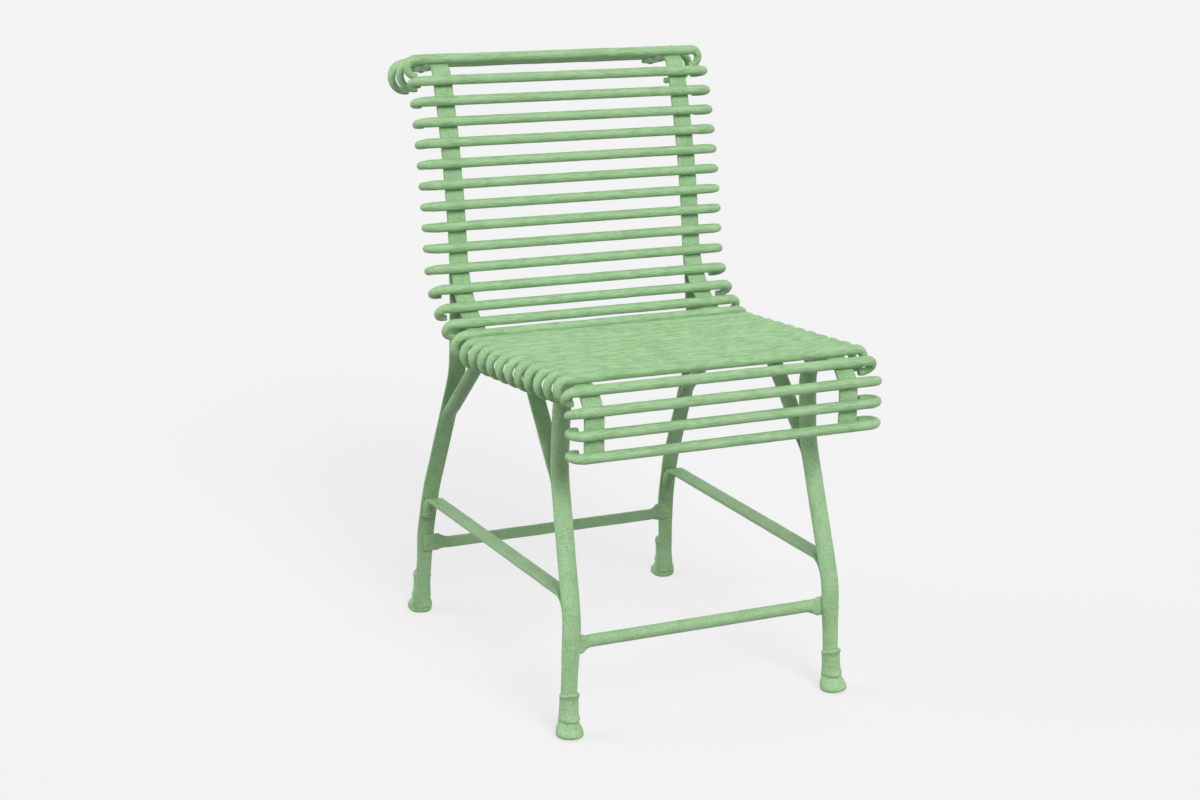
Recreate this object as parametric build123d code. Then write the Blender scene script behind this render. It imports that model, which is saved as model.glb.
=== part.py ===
from build123d import *
import math
import os

# Wrought iron slatted garden chair, millimetres, +Z up, front toward -Y.
# Left and right are as seen from the front: right is +X.

# Overall sizes
chair_width = 460.0
seat_height = 473.0

# Slats: round bars with a half-turn hook at both ends
slat_dia = 13.5
hook_radius = 11.25
roll_hook_radius = 19.0
seat_hook_radius = 16.0
front_hook_radii = (15.0, 12.5, 11.25, 12.0, 13.5, 13.5)
hook_tail = 4.0
slat_bed = 0.3
even_slats = 29
roll_slats = 3
seat_start_slat = 16

# The left ends of the seat slats draw inward toward the front
inset_from_slat = 13
inset_step = 0.8

# Side route of the slat centres, from the rear of the top roll to below the front edge.
# A heading is the angle from straight down toward the front, in degrees.
roll_run = 58.7
roll_heading = 101.6
roll_radius = 26.0
back_lean_top = 20.93
back_radius = 974.0
back_length = 246.9
hollow_radius = 111.3
seat_heading = 92.98
seat_length = 273.8
front_radius = 48.2
front_drop = 40.8

# Places of the uneven slats along the route, measured from the top of the even back
first_even = 10.5
crest_back = 29.0
roll_step = 34.3

# Side straps
strap_width = 27.0
strap_thick = 5.0
strap_spread = 358.0
strap_tail = 8.5
strap_nose = 12.0
strap_tip_share = 0.4

# Legs: half-round bar, flat toward the middle of the chair, round outward
leg_width = 26.0
leg_depth = 11.5
leg_edge = 2.0
front_stance = 388.0
rear_stance = 400.0
front_splay = 2.29
rear_splay = 2.18
lap_sink = 0.8

# Front leg line, set back from the front slats
front_foot_inset = 51.3
front_knee_inset = 109.3
front_shin_height = 150.0
front_knee_height = 334.0
front_shin_radius = 100.0
front_knee_radius = 140.0
front_top_radius = 45.0

# Rear leg line, set back from the rear end of the flat seat, up to the back of the strap
rear_foot_reach = 224.3
rear_shin_reach = 216.3
rear_shin_height = 129.6
rear_calf_reach = 199.4
rear_calf_height = 194.4
rear_knee_reach = 112.4
rear_knee_height = 386.0
rear_neck_reach = 118.8
rear_neck_height = 500.0
rear_shin_radius = 140.0
rear_calf_radius = 250.0
rear_knee_radius = 90.0
rear_neck_radius = 120.0

# Prongs: the second branch at the top of each leg
prong_width = 23.5
prong_depth = 10.5
front_prong_foot = 283.0
front_prong_leave = 318.0
front_prong_reach = 166.0
front_prong_bend = 70.0
front_prong_top_radius = 35.0
front_prong_lap = 7.0
rear_prong_foot = 285.0
rear_prong_leave = 320.0
rear_prong_reach = 16.0
rear_prong_bend = 70.0
rear_prong_top_radius = 32.0

# Feet: cast hooves around the outer side of the legs
foot_height = 61.0
foot_width = 37.5
foot_reach = 30.0
sole_plate = 5.0
sole_heel = 9.0
hoof_back = 0.05
foot_rows_share = (
    # height, width, reach
    (0.000, 0.78, 0.64),
    (0.040, 0.90, 0.84),
    (0.100, 0.98, 0.97),
    (0.160, 1.00, 1.00),
    (0.220, 0.95, 0.93),
    (0.300, 0.83, 0.76),
    (0.330, 0.77, 0.67),
    (0.350, 0.78, 0.68),
    (0.400, 0.82, 0.75),
    (0.460, 0.78, 0.68),
    (0.600, 0.75, 0.64),
    (0.880, 0.74, 0.61),
    (0.910, 0.79, 0.67),
    (0.960, 0.80, 0.69),
    (1.000, 0.75, 0.62),
)

# Side stretchers: half-round, flat up, both ends bent down along the legs
side_width = 22.0
side_depth = 11.0
side_edge = 2.0
side_height = 184.0
side_tab = 36.0
side_rivet_share = 0.67
side_bend = 30.0

# Cross stretchers: half-round bars with forged palms against the legs
cross_width = 17.5
cross_depth = 9.0
cross_edge = 1.5
cross_proud = 1.5
palm_height = 26.0
palm_thick = 5.0
palm_crown = 0.4
palm_inboard = 18.0
palm_outboard = 5.0
palm_taper = 15.0
front_cross_height = 118.0
rear_cross_height = 108.0

# Rivets
rivet_dia = 4.8
rivet_clearance = 0.1
slat_head_dia = 6.4
slat_head_rise = 0.6
slat_head_depth = 1.5
strap_head_dia = 9.2
strap_head_rise = 2.0
frame_rivet_dia = 6.0
frame_head_dia = 9.0
frame_head_rise = 1.6
head_bed = 1.6
head_sink = 0.2
strap_head_bed = 0.4

# Shared cutting overrun
overrun = 5.0

slat_radius = slat_dia / 2
half_width = chair_width / 2
strap_x = strap_spread / 2
strap_face = slat_radius - slat_bed
strap_back = strap_face + strap_thick


# Side route

def route_pieces():
    """Lengths and end headings of the route, straight where both headings agree."""
    lean_low = back_lean_top - math.degrees(back_length / back_radius)
    turn_up = math.radians(roll_heading - back_lean_top)
    turn_hollow = math.radians(seat_heading - lean_low)
    turn_front = math.radians(seat_heading)
    return [
        (roll_run + strap_nose, roll_heading, roll_heading),
        (roll_radius * turn_up, roll_heading, back_lean_top),
        (back_length, back_lean_top, lean_low),
        (hollow_radius * turn_hollow, lean_low, seat_heading),
        (seat_length, seat_heading, seat_heading),
        (front_radius * turn_front, seat_heading, 0.0),
        (front_drop + strap_tail, 0.0, 0.0),
    ]


def step(y, z, length, start, end):
    """Point reached after a straight or an arc of the route."""
    a = math.radians(start)
    b = math.radians(end)
    if start == end:
        return y - length * math.sin(a), z - length * math.cos(a)
    radius = length / (b - a)
    y_next = y + radius * (math.cos(b) - math.cos(a))
    z_next = z - radius * (math.sin(b) - math.sin(a))
    return y_next, z_next


def route_nodes():
    """Start point of every stretch, with the top front of the seat at its height."""
    y, z = 0.0, 0.0
    nodes = [(y, z)]
    for length, start, end in route_pieces():
        y, z = step(y, z, length, start, end)
        nodes.append((y, z))
    lift = seat_height - slat_radius - nodes[5][1]
    return [(y - nodes[3][0], z + lift) for y, z in nodes]


pieces = route_pieces()
nodes_yz = route_nodes()
back_start = pieces[0][0] + pieces[1][0]


def route(s):
    """Slat centre and heading at a distance from the top of the even back."""
    left = s + back_start
    for (length, start, end), (y, z) in zip(pieces, nodes_yz):
        if left <= length or (length, start, end) == pieces[-1]:
            heading = start + (end - start) * left / length
            y, z = step(y, z, left, start, heading)
            return y, z, heading
        left -= length


def outward(heading):
    """Unit vector from the strap toward the sitter."""
    a = math.radians(heading)
    return Vector(0, -math.cos(a), math.sin(a))


def on_route(s, offset):
    """Point beside the route, offset toward the sitter."""
    y, z, heading = route(s)
    n = outward(heading)
    return Vector(0, y + n.Y * offset, z + n.Z * offset)


def route_edges(offset):
    """Edges of the whole route at an offset."""
    edges = []
    s = -back_start
    for length, start, end in pieces:
        a = on_route(s, offset)
        b = on_route(s + length, offset)
        if start == end:
            edges.append(Line(a, b))
        else:
            edges.append(ThreePointArc(a, on_route(s + length / 2, offset), b))
        s += length
    return edges


# Places of the slats, from the rear of the top roll to below the front edge
last_even = sum(p[0] for p in pieces) - back_start - strap_tail
slat_pitch = (last_even - first_even) / (even_slats - 1)
slat_places = [-crest_back - roll_step * i for i in range(roll_slats - 1, -1, -1)]
slat_places += [first_even + slat_pitch * i for i in range(even_slats)]


# Half-round bars

def half_round(width, depth, edge, side):
    """Outline of a half-round section, flat on local X, round toward side times local Y."""
    half = width / 2
    lines = [
        Line((-half, 0), (half, 0)),
        Line((half, 0), (half, side * edge)),
        ThreePointArc((half, side * edge), (0, side * depth), (-half, side * edge)),
        Line((-half, side * edge), (-half, 0)),
    ]
    return make_face(lines)


def rounded(points, radii):
    """Straights joined by tangent arcs, one radius for each inner (y, z) point."""
    spots = [Vector(0, y, z) for y, z in points]
    edges = []
    start = spots[0]
    for before, corner, after, radius in zip(spots, spots[1:], spots[2:], radii):
        into = (corner - before).normalized()
        away = (after - corner).normalized()
        half = math.radians(into.get_angle(away)) / 2
        setback = radius * math.tan(half)
        arc_start = corner - into * setback
        arc_end = corner + away * setback
        middle = corner + (away - into).normalized() * (radius / math.cos(half) - radius)
        edges.append(Line(start, arc_start))
        edges.append(ThreePointArc(arc_start, middle, arc_end))
        start = arc_end
    edges.append(Line(start, spots[-1]))
    return Wire(edges)


def bar(points, radii, width, depth, edge, side):
    """Half-round bar along a rounded line of (y, z) points on its flat face."""
    path = rounded(points, radii)
    plane = Plane(origin=path @ 0, x_dir=(1, 0, 0), z_dir=path % 0)
    return sweep(plane * half_round(width, depth, edge, side), path=path)


def splay(shape, stance, angle):
    """Lean a piece of the right side inward about the floor line of its legs."""
    return Pos(stance / 2, 0, 0) * Rot(0, -angle, 0) * shape


def along(points, height):
    """Point and lean of a line of (y, z) points at a height."""
    for (y0, z0), (y1, z1) in zip(points, points[1:]):
        if z0 <= height <= z1:
            share = (height - z0) / (z1 - z0)
            lean = math.degrees(math.atan2(y1 - y0, z1 - z0))
            return y0 + (y1 - y0) * share, lean
    raise ValueError("height outside the line")


def under_strap(y, sink):
    """Point on the underside of the flat seat strap at y, moved up into it."""
    s_rear = sum(p[0] for p in pieces[:4]) - back_start
    rear = on_route(s_rear, sink - strap_back)
    a = math.radians(seat_heading)
    return y, rear.Z + (y - rear.Y) / math.tan(a)


# Straps

def make_strap():
    """Right strap, without holes."""
    outer = route_edges(-strap_face)
    inner = route_edges(-strap_back)
    ends = [Line(outer[0] @ 0, inner[0] @ 0), Line(outer[-1] @ 1, inner[-1] @ 1)]
    outline = make_face(outer + inner + ends)
    strap = Pos(strap_x, 0, 0) * extrude(outline, strap_width / 2, dir=(1, 0, 0), both=True)
    low = strap.edges().filter_by(Axis.Y).sort_by(Axis.Z)[:2]
    strap = fillet(low, strap_width * strap_tip_share)
    rear_face = strap.faces().sort_by(Axis.Y)[-1]
    tips = [e for e in rear_face.edges() if e.length < (strap_thick + strap_width) / 2]
    return fillet(tips, strap_width * strap_tip_share)


# Slats

def make_slat_form(radius, inset):
    """Slat along local X with both hooks turned toward local -Y, its left end moved in."""
    reach = half_width - slat_radius - radius
    left = inset - reach
    path = Wire([
        Line((left + hook_tail, -2 * radius), (left, -2 * radius)),
        ThreePointArc((left, -2 * radius), (left - radius, -radius), (left, 0)),
        Line((left, 0), (reach, 0)),
        ThreePointArc((reach, 0), (reach + radius, -radius), (reach, -2 * radius)),
        Line((reach, -2 * radius), (reach - hook_tail, -2 * radius)),
    ])
    start = Plane(origin=path @ 0, z_dir=path % 0)
    return sweep(start * Circle(slat_radius), path=path)


def slat_plane(s):
    """Plane with X along the slat and Y toward the sitter."""
    y, z, heading = route(s)
    n = outward(heading)
    return Plane(origin=(0, y, z), x_dir=(1, 0, 0), z_dir=(0, -n.Z, n.Y))


def drill(s, x, radius, top, bottom):
    """Cylinder square to the strap at a slat, between two offsets toward the sitter."""
    y, z, heading = route(s)
    n = outward(heading)
    base = on_route(s, bottom)
    plane = Plane(origin=(x, base.Y, base.Z), z_dir=n)
    return plane * Cylinder(radius, top - bottom, align=(Align.CENTER, Align.CENTER, Align.MIN))


# Rivets

def rivet(low, high, radius, low_head, high_head):
    """Rivet between two surface points. A head is (radius, rise, bed)."""
    axis = high - low
    length = axis.length
    low_r, low_rise, low_bed = low_head
    high_r, high_rise, high_bed = high_head
    low_round = spherical(low_r, low_rise)
    high_round = spherical(high_r, high_rise)
    outline = make_face([
        ThreePointArc((0, -low_rise), (low_round[0], -low_round[1]), (low_r, 0)),
        Line((low_r, 0), (low_r, low_bed)),
        Line((low_r, low_bed), (radius, low_bed)),
        Line((radius, low_bed), (radius, length - high_bed)),
        Line((radius, length - high_bed), (high_r, length - high_bed)),
        Line((high_r, length - high_bed), (high_r, length)),
        ThreePointArc((high_r, length), (high_round[0], length + high_round[1]), (0, length + high_rise)),
        Line((0, length + high_rise), (0, -low_rise)),
    ])
    body = revolve(Plane.XZ * outline, Axis.Z)
    return Plane(origin=low, z_dir=axis) * body


def spherical(radius, rise):
    """Middle point of the domed outline of a head."""
    ball = (radius * radius + rise * rise) / (2 * rise)
    half = math.asin(radius / ball) / 2
    return ball * math.sin(half), rise - ball * (1 - math.cos(half))


# Leg lines on the flat faces, in the upright side plane

front_y = nodes_yz[6][0]
seat_rear_y = nodes_yz[4][0]
hole_radius = rivet_dia / 2 + rivet_clearance
frame_hole = frame_rivet_dia / 2 + rivet_clearance
head_r = strap_head_dia / 2


def slat_under(index, clear):
    """Y under a seat slat, moved toward the rear by clear."""
    return on_route(slat_places[index], -strap_back).Y + clear


seat_front_slat = 26
front_prong_slat = 20
rear_prong_slat = 17
rear_leg_slat = 12

front_foot_y = front_y + front_foot_inset
front_knee_y = front_y + front_knee_inset
front_end_y = slat_under(seat_front_slat + 1, head_r + rivet_clearance)
front_leg_line = [
    (front_foot_y, sole_plate),
    (front_foot_y, front_shin_height),
    (front_knee_y, front_knee_height),
    under_strap(front_knee_y, lap_sink),
    under_strap(front_end_y, lap_sink),
]
front_leg_radii = [front_shin_radius, front_knee_radius, front_top_radius]

rear_foot_y = seat_rear_y + rear_foot_reach
rear_end = on_route(slat_places[rear_leg_slat - 1] + slat_pitch / 2, lap_sink - strap_back)
rear_leg_line = [
    (rear_foot_y, sole_plate),
    (seat_rear_y + rear_shin_reach, rear_shin_height),
    (seat_rear_y + rear_calf_reach, rear_calf_height),
    (seat_rear_y + rear_knee_reach, rear_knee_height),
    (seat_rear_y + rear_neck_reach, rear_neck_height),
    (rear_end.Y, rear_end.Z),
]
rear_leg_radii = [rear_shin_radius, rear_calf_radius, rear_knee_radius, rear_neck_radius]


def beside(points, height, offset):
    """Point beside a leg line at a height, offset square to it toward the rear."""
    y, lean = along(points, height)
    a = math.radians(lean)
    return y + offset * math.cos(a), height - offset * math.sin(a)


front_prong_y = front_knee_y + front_prong_reach - (front_knee_inset - front_foot_inset)
front_prong_line = [
    beside(front_leg_line, front_prong_foot, -lap_sink),
    beside(front_leg_line, front_prong_leave, -lap_sink),
    under_strap(front_prong_y, lap_sink),
    under_strap(front_prong_y + front_prong_top_radius + front_prong_lap, lap_sink),
]
front_prong_radii = [front_prong_bend, front_prong_top_radius]

rear_prong_end_y = slat_under(rear_prong_slat + 1, head_r + rivet_clearance)
rear_prong_line = [
    beside(rear_leg_line, rear_prong_foot, lap_sink),
    beside(rear_leg_line, rear_prong_leave, lap_sink),
    under_strap(seat_rear_y + rear_prong_reach, lap_sink),
    under_strap(rear_prong_end_y, lap_sink),
]
rear_prong_radii = [rear_prong_bend, rear_prong_top_radius]


# Feet

def foot_section(height, width, reach, heel):
    """Flat-backed oval slice of a foot."""
    half = width / 2
    outline = make_face([
        Line((-half, -heel), (half, -heel)),
        Line((half, -heel), (half, 0)),
        EllipticalCenterArc((0, 0), half, reach, 0, arc_size=180),
        Line((-half, 0), (-half, -heel)),
    ])
    return Pos(0, 0, height) * outline


def make_foot(stance, angle, foot_y, side):
    """Hoof of a right leg, its toe toward side times Y."""
    rows = []
    for z_share, width_share, reach_share in foot_rows_share:
        size = (foot_width * width_share, foot_reach * reach_share)
        rows.append(foot_section(foot_height * z_share, *size, hoof_back))
    hoof = loft(rows, ruled=True)
    low = foot_rows_share[0]
    half = foot_width * low[1] / 2
    sole = make_face([
        EllipticalCenterArc((0, 0), half, foot_reach * low[2], 0, arc_size=180),
        EllipticalCenterArc((0, 0), half, sole_heel, 180, arc_size=180),
    ])
    foot = hoof + extrude(Pos(0, 0, -overrun) * sole, sole_plate + overrun)
    if side < 0:
        foot = Rot(0, 0, 180) * foot
    foot = splay(Pos(0, foot_y, 0) * foot, stance, angle)
    room = Box(chair_width, chair_width, chair_width, align=(Align.CENTER, Align.CENTER, Align.MIN))
    return foot & (Pos(stance / 2, foot_y, 0) * room)


# Stretchers

def make_side_stretcher():
    """Right side stretcher between the two flat faces."""
    front_flat, front_lean = along(front_leg_line, side_height)
    rear_flat, rear_lean = along(rear_leg_line, side_height)
    start_x = stance_at(front_stance, front_splay, side_height)
    end_x = stance_at(rear_stance, rear_splay, side_height)
    run = rear_flat - front_flat
    fa = math.radians(front_lean)
    ra = math.radians(rear_lean)
    points = [
        (-side_tab * math.sin(fa), -side_tab * math.cos(fa)),
        (0, 0),
        (run, 0),
        (run - side_tab * math.sin(ra), -side_tab * math.cos(ra)),
    ]
    piece = bar(points, [side_bend, side_bend], side_width, side_depth, side_edge, 1)
    plan = math.degrees(math.atan2(end_x - start_x, run))
    tilt = (front_splay + rear_splay) / 2
    return Pos(start_x, front_flat, side_height) * Rot(0, 0, -plan) * Rot(0, -tilt, 0) * piece


def stance_at(stance, angle, height):
    """Distance of a leg's middle plane from the chair's middle at a height."""
    return stance / 2 - height * math.tan(math.radians(angle))


def cross_section(x, width, depth, edge, back):
    """Half-round slice at x, round toward local -Y, its flat at back."""
    plane = Plane(origin=(x, back, 0), x_dir=(0, 0, 1), z_dir=(1, 0, 0))
    return plane * half_round(width, depth, edge, 1)


def make_cross_stretcher(line, stance, angle, height, side):
    """Cross stretcher with its palms against the flat faces of a pair of legs."""
    flat, lean = along(line, height)
    reach = stance_at(stance, angle, height)
    tip = reach + palm_outboard
    palm = reach - palm_inboard
    neck = palm - palm_taper
    palm_size = (palm_height, palm_thick, palm_thick - palm_crown, palm_thick - palm_crown)
    bar_size = (cross_width, cross_depth, cross_edge, cross_proud + cross_depth)
    places = [(-tip, palm_size), (-palm, palm_size), (-neck, bar_size)]
    places += [(neck, bar_size), (palm, palm_size), (tip, palm_size)]
    slices = [cross_section(x, *size) for x, size in places]
    body = loft(slices, ruled=True)
    if side > 0:
        body = Rot(0, 0, 180) * body
    return Pos(0, flat, height) * Rot(-lean, 0, 0) * body


def mirrored(shape):
    """The same piece on the left side."""
    return mirror(shape, about=Plane.YZ)


# Main pieces of the right side

strap = make_strap()
leg_front = splay(bar(front_leg_line, front_leg_radii, leg_width, leg_depth, leg_edge, -1),
                  front_stance, front_splay) - strap
leg_rear = splay(bar(rear_leg_line, rear_leg_radii, leg_width, leg_depth, leg_edge, 1),
                 rear_stance, rear_splay) - strap
prong_front = splay(bar(front_prong_line, front_prong_radii, prong_width, prong_depth, leg_edge, 1),
                    front_stance, front_splay) - strap - leg_front
prong_rear = splay(bar(rear_prong_line, rear_prong_radii, prong_width, prong_depth, leg_edge, -1),
                   rear_stance, rear_splay) - strap - leg_rear
foot_front = make_foot(front_stance, front_splay, front_foot_y, -1) - leg_front
foot_rear = make_foot(rear_stance, rear_splay, rear_foot_y, 1) - leg_rear
side_stretcher = make_side_stretcher() - leg_front - leg_rear
cross_front = make_cross_stretcher(front_leg_line, front_stance, front_splay, front_cross_height, -1)
cross_rear = make_cross_stretcher(rear_leg_line, rear_stance, rear_splay, rear_cross_height, 1)
cross_front = cross_front - leg_front - mirrored(leg_front)
cross_rear = cross_rear - leg_rear - mirrored(leg_rear)

# Slats on the two straps
left_strap = mirrored(strap)
front_start_slat = len(slat_places) - len(front_hook_radii)
hook_radii = [roll_hook_radius] * (roll_slats - 1)
hook_radii += [hook_radius] * (seat_start_slat - len(hook_radii))
hook_radii += [seat_hook_radius] * (front_start_slat - seat_start_slat)
hook_radii += front_hook_radii
slats = []
for i, (s, radius) in enumerate(zip(slat_places, hook_radii)):
    form = make_slat_form(radius, max(0, i - inset_from_slat) * inset_step)
    slats.append(slat_plane(s).location * form - strap - left_strap)

# Slat rivets, longer where a leg or a prong laps the strap
lapped = {
    seat_front_slat: ("leg_front", leg_depth),
    front_prong_slat: ("prong_front", prong_depth),
    rear_leg_slat: ("leg_rear", leg_depth),
    rear_prong_slat: ("prong_rear", prong_depth),
}
bars = {"leg_front": leg_front, "prong_front": prong_front, "leg_rear": leg_rear, "prong_rear": prong_rear}
slat_rivets = []
crest = slat_radius
for i, s in enumerate(slat_places):
    depth = strap_back
    far_head = (head_r, strap_head_rise, strap_head_bed)
    if i in lapped:
        name, bar_depth = lapped[i]
        depth += bar_depth - lap_sink
        far_head = (head_r, strap_head_rise, head_bed)
        bars[name] = bars[name] - drill(s, strap_x, hole_radius, crest, -depth - overrun)
    low = on_route(s, -depth)
    high = on_route(s, crest)
    low = Vector(strap_x, low.Y, low.Z)
    high = Vector(strap_x, high.Y, high.Z)
    near_head = (slat_head_dia / 2, slat_head_rise, slat_head_depth)
    slat_rivets.append((i, rivet(low, high, rivet_dia / 2, far_head, near_head)))
    strap = strap - drill(s, strap_x, hole_radius, crest, -strap_back - overrun)
    for side in (-1, 1):
        slats[i] = slats[i] - drill(s, side * strap_x, hole_radius, crest + overrun, -strap_back)
        pocket = slat_head_dia / 2 + rivet_clearance
        slats[i] = slats[i] - drill(s, side * strap_x, pocket, crest + overrun, crest - slat_head_depth)


# Frame rivets, drilled through both pieces

def frame_rivet(names, place, direction, near, far):
    """Drill the named bars and return the rivet between two distances along a direction."""
    low = place + direction * near
    high = place + direction * far
    plane = Plane(origin=low - direction * overrun, z_dir=direction)
    length = far - near + 2 * overrun
    hole = plane * Cylinder(frame_hole, length, align=(Align.CENTER, Align.CENTER, Align.MIN))
    head = (frame_head_dia / 2, frame_head_rise, head_bed)
    body = rivet(low, high, frame_rivet_dia / 2, head, head)
    for name in names:
        solids[name] = solids[name] - hole
    for name in names:
        body = body - solids[name]
    return body


def splayed_point(y, z, stance, angle):
    """Point of a leg line after the splay."""
    a = math.radians(angle)
    return Vector(stance / 2 - z * math.sin(a), y, z * math.cos(a))


def square_to(lean, angle):
    """Direction square to a leg's flat, toward the rear, after the splay."""
    a = math.radians(lean)
    b = math.radians(angle)
    return Vector(math.sin(a) * math.sin(b), math.cos(a), -math.sin(a) * math.cos(b))


solids = dict(bars)
solids["side_stretcher"] = side_stretcher
solids["cross_stretcher_front"] = cross_front
solids["cross_stretcher_rear"] = cross_rear


def leg_joint(line, stance, angle, height, names, near, far):
    """Rivet square to a leg's flat at a height."""
    y, lean = along(line, height)
    place = splayed_point(y, height, stance, angle)
    return frame_rivet(names, place, square_to(lean, angle), near, far)


front_joint = (front_prong_foot + front_prong_leave) / 2
rear_joint = (rear_prong_foot + rear_prong_leave) / 2
side_joint = side_height - side_tab * side_rivet_share
frame_rivets = [
    leg_joint(front_leg_line, front_stance, front_splay, front_joint,
              ("leg_front", "prong_front"), -leg_depth, prong_depth - lap_sink),
    leg_joint(rear_leg_line, rear_stance, rear_splay, rear_joint,
              ("leg_rear", "prong_rear"), lap_sink - prong_depth, leg_depth),
]
stretcher_rivets = [
    leg_joint(front_leg_line, front_stance, front_splay, side_joint,
              ("leg_front", "side_stretcher"), -leg_depth, side_depth),
    leg_joint(rear_leg_line, rear_stance, rear_splay, side_joint,
              ("leg_rear", "side_stretcher"), -side_depth, leg_depth),
]
cross_jobs = (
    (front_leg_line, front_stance, front_splay, front_cross_height, "leg_front", "cross_stretcher_front",
     head_sink - leg_depth, palm_thick - palm_crown),
    (rear_leg_line, rear_stance, rear_splay, rear_cross_height, "leg_rear", "cross_stretcher_rear",
     palm_crown - palm_thick, leg_depth - head_sink),
)
for line, stance, angle, height, leg_name, cross_name, near, far in cross_jobs:
    y, lean = along(line, height)
    place = splayed_point(y, height, stance, angle)
    direction = square_to(lean, 0.0)
    stretcher_rivets.append(frame_rivet((leg_name, cross_name), place, direction, near, far))
    hole_plane = Plane(origin=place + direction * (near - overrun), z_dir=direction)
    length = far - near + 2 * overrun
    hole = hole_plane * Cylinder(frame_hole, length, align=(Align.CENTER, Align.CENTER, Align.MIN))
    solids[cross_name] = solids[cross_name] - mirrored(hole)

# Slat rivets seated on the drilled pieces
seated = []
for i, body in slat_rivets:
    body = body - strap
    if i in lapped:
        body = body - solids[lapped[i][0]]
    seated.append(body)

# Nodes
nodes = {}
for i, slat in enumerate(slats):
    nodes[f"slat_{i + 1:02d}"] = slat
right_pieces = {
    "strap": strap,
    "leg_front": solids["leg_front"],
    "leg_rear": solids["leg_rear"],
    "prong_front": solids["prong_front"],
    "prong_rear": solids["prong_rear"],
    "foot_front": foot_front,
    "foot_rear": foot_rear,
    "side_stretcher": solids["side_stretcher"],
    "slat_rivets": Compound(seated),
    "frame_rivets": Compound(frame_rivets),
    "stretcher_rivets": Compound(stretcher_rivets),
}
for name, shape in right_pieces.items():
    nodes[name + "_right"] = shape
    nodes[name + "_left"] = mirrored(shape)
nodes["cross_stretcher_front"] = solids["cross_stretcher_front"]
nodes["cross_stretcher_rear"] = solids["cross_stretcher_rear"]

# Origin on the floor under the middle of the whole chair
lows = [shape.bounding_box().min for shape in nodes.values()]
highs = [shape.bounding_box().max for shape in nodes.values()]
mid_y = (min(v.Y for v in lows) + max(v.Y for v in highs)) / 2
floor_z = min(v.Z for v in lows)
to_frame = Pos(0, -mid_y, -floor_z)

os.makedirs("parts", exist_ok=True)
for name, shape in nodes.items():
    export_step(to_frame * shape, f"parts/{name}.step")

print("moved in y", round(-mid_y, 4), "moved in z", round(-floor_z, 4))
print("pitch", round(slat_pitch, 3), "height", round(max(v.Z for v in highs), 2))
print("soles y", round(front_foot_y - mid_y, 3), round(rear_foot_y - mid_y, 3))
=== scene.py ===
import logging
import math
import random
from dataclasses import dataclass
from enum import Enum, IntEnum
from typing import Callable, Iterable, Optional, Sequence

import bpy
from mathutils import Matrix, Vector, noise


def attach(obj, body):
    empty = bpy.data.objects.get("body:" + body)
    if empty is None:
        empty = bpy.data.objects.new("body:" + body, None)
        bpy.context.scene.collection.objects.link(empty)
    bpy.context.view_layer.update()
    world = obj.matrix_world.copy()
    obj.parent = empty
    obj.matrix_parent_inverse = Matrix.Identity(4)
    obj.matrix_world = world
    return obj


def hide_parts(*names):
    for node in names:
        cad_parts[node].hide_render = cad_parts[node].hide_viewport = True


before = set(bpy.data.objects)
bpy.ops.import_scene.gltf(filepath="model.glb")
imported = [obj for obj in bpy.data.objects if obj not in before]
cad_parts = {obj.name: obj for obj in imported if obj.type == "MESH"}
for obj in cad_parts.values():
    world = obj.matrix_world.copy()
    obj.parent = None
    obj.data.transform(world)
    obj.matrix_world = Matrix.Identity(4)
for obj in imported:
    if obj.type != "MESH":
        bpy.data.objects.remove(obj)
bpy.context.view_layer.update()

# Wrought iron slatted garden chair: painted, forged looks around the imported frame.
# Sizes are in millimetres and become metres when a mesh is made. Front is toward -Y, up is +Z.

logging.basicConfig(level=logging.INFO, format="%(name)s: %(message)s")
log = logging.getLogger("garden_chair")

MM = 0.001
BODY = "root"
LAMP_DISTANCE = 4.0

Point2 = tuple[float, float]
Outline = list[Point2]


class Side(Enum):
    """Side of the chair as seen from the front."""

    LEFT = -1
    RIGHT = 1

    @property
    def word(self) -> str:
        """Name of the side in the name of a piece."""
        return self.name.lower()

    def mirror(self, point: Vector) -> Vector:
        """Point of the right side moved to this one."""
        return Vector((point.x * self.value, point.y, point.z))


class End(Enum):
    """End of the chair."""

    FRONT = "front"
    REAR = "rear"


class Run(IntEnum):
    """Straights and bends of the side route, from the rear of the top roll to the front."""

    ROLL = 0
    ROLL_BEND = 1
    BACK = 2
    HOLLOW = 3
    SEAT = 4
    FRONT_BEND = 5
    FRONT = 6


class Tone(Enum):
    """Which coat of the paint a piece wears."""

    BARS = "bars"
    SLATS = "slats"
    RIVETS = "rivets"


def in_scene(name: str, data: bpy.types.ID) -> bpy.types.Object:
    """Put new data into the scene.

    Args:
        name: Name of the object.
        data: Its mesh, curve, light or camera.

    Returns:
        The object, at the origin.
    """
    made = bpy.data.objects.new(name, data)
    bpy.context.scene.collection.objects.link(made)
    return made


def grey(level: float) -> tuple[float, float, float, float]:
    """Grey of a level, as a colour socket takes it."""
    return level, level, level, 1.0


# Sections and skins

DOME_STEPS = 24
OVAL_STEPS = 32
THINNEST_RISE = 0.01

# Rounding of an end: share of the bevel inward, share of its depth left
BEVEL_STEPS = ((0.0, 1.0), (0.3, 0.35), (1.0, 0.0))
BEVEL_LIMIT = 0.6
CAP_CORE = 0.45


def ease(value: float) -> float:
    """Smooth step, held between 0 and 1.

    Args:
        value: Share of the way.

    Returns:
        The share, level at both ends.
    """
    value = min(1.0, max(0.0, value))
    return value * value * (3 - 2 * value)


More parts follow.
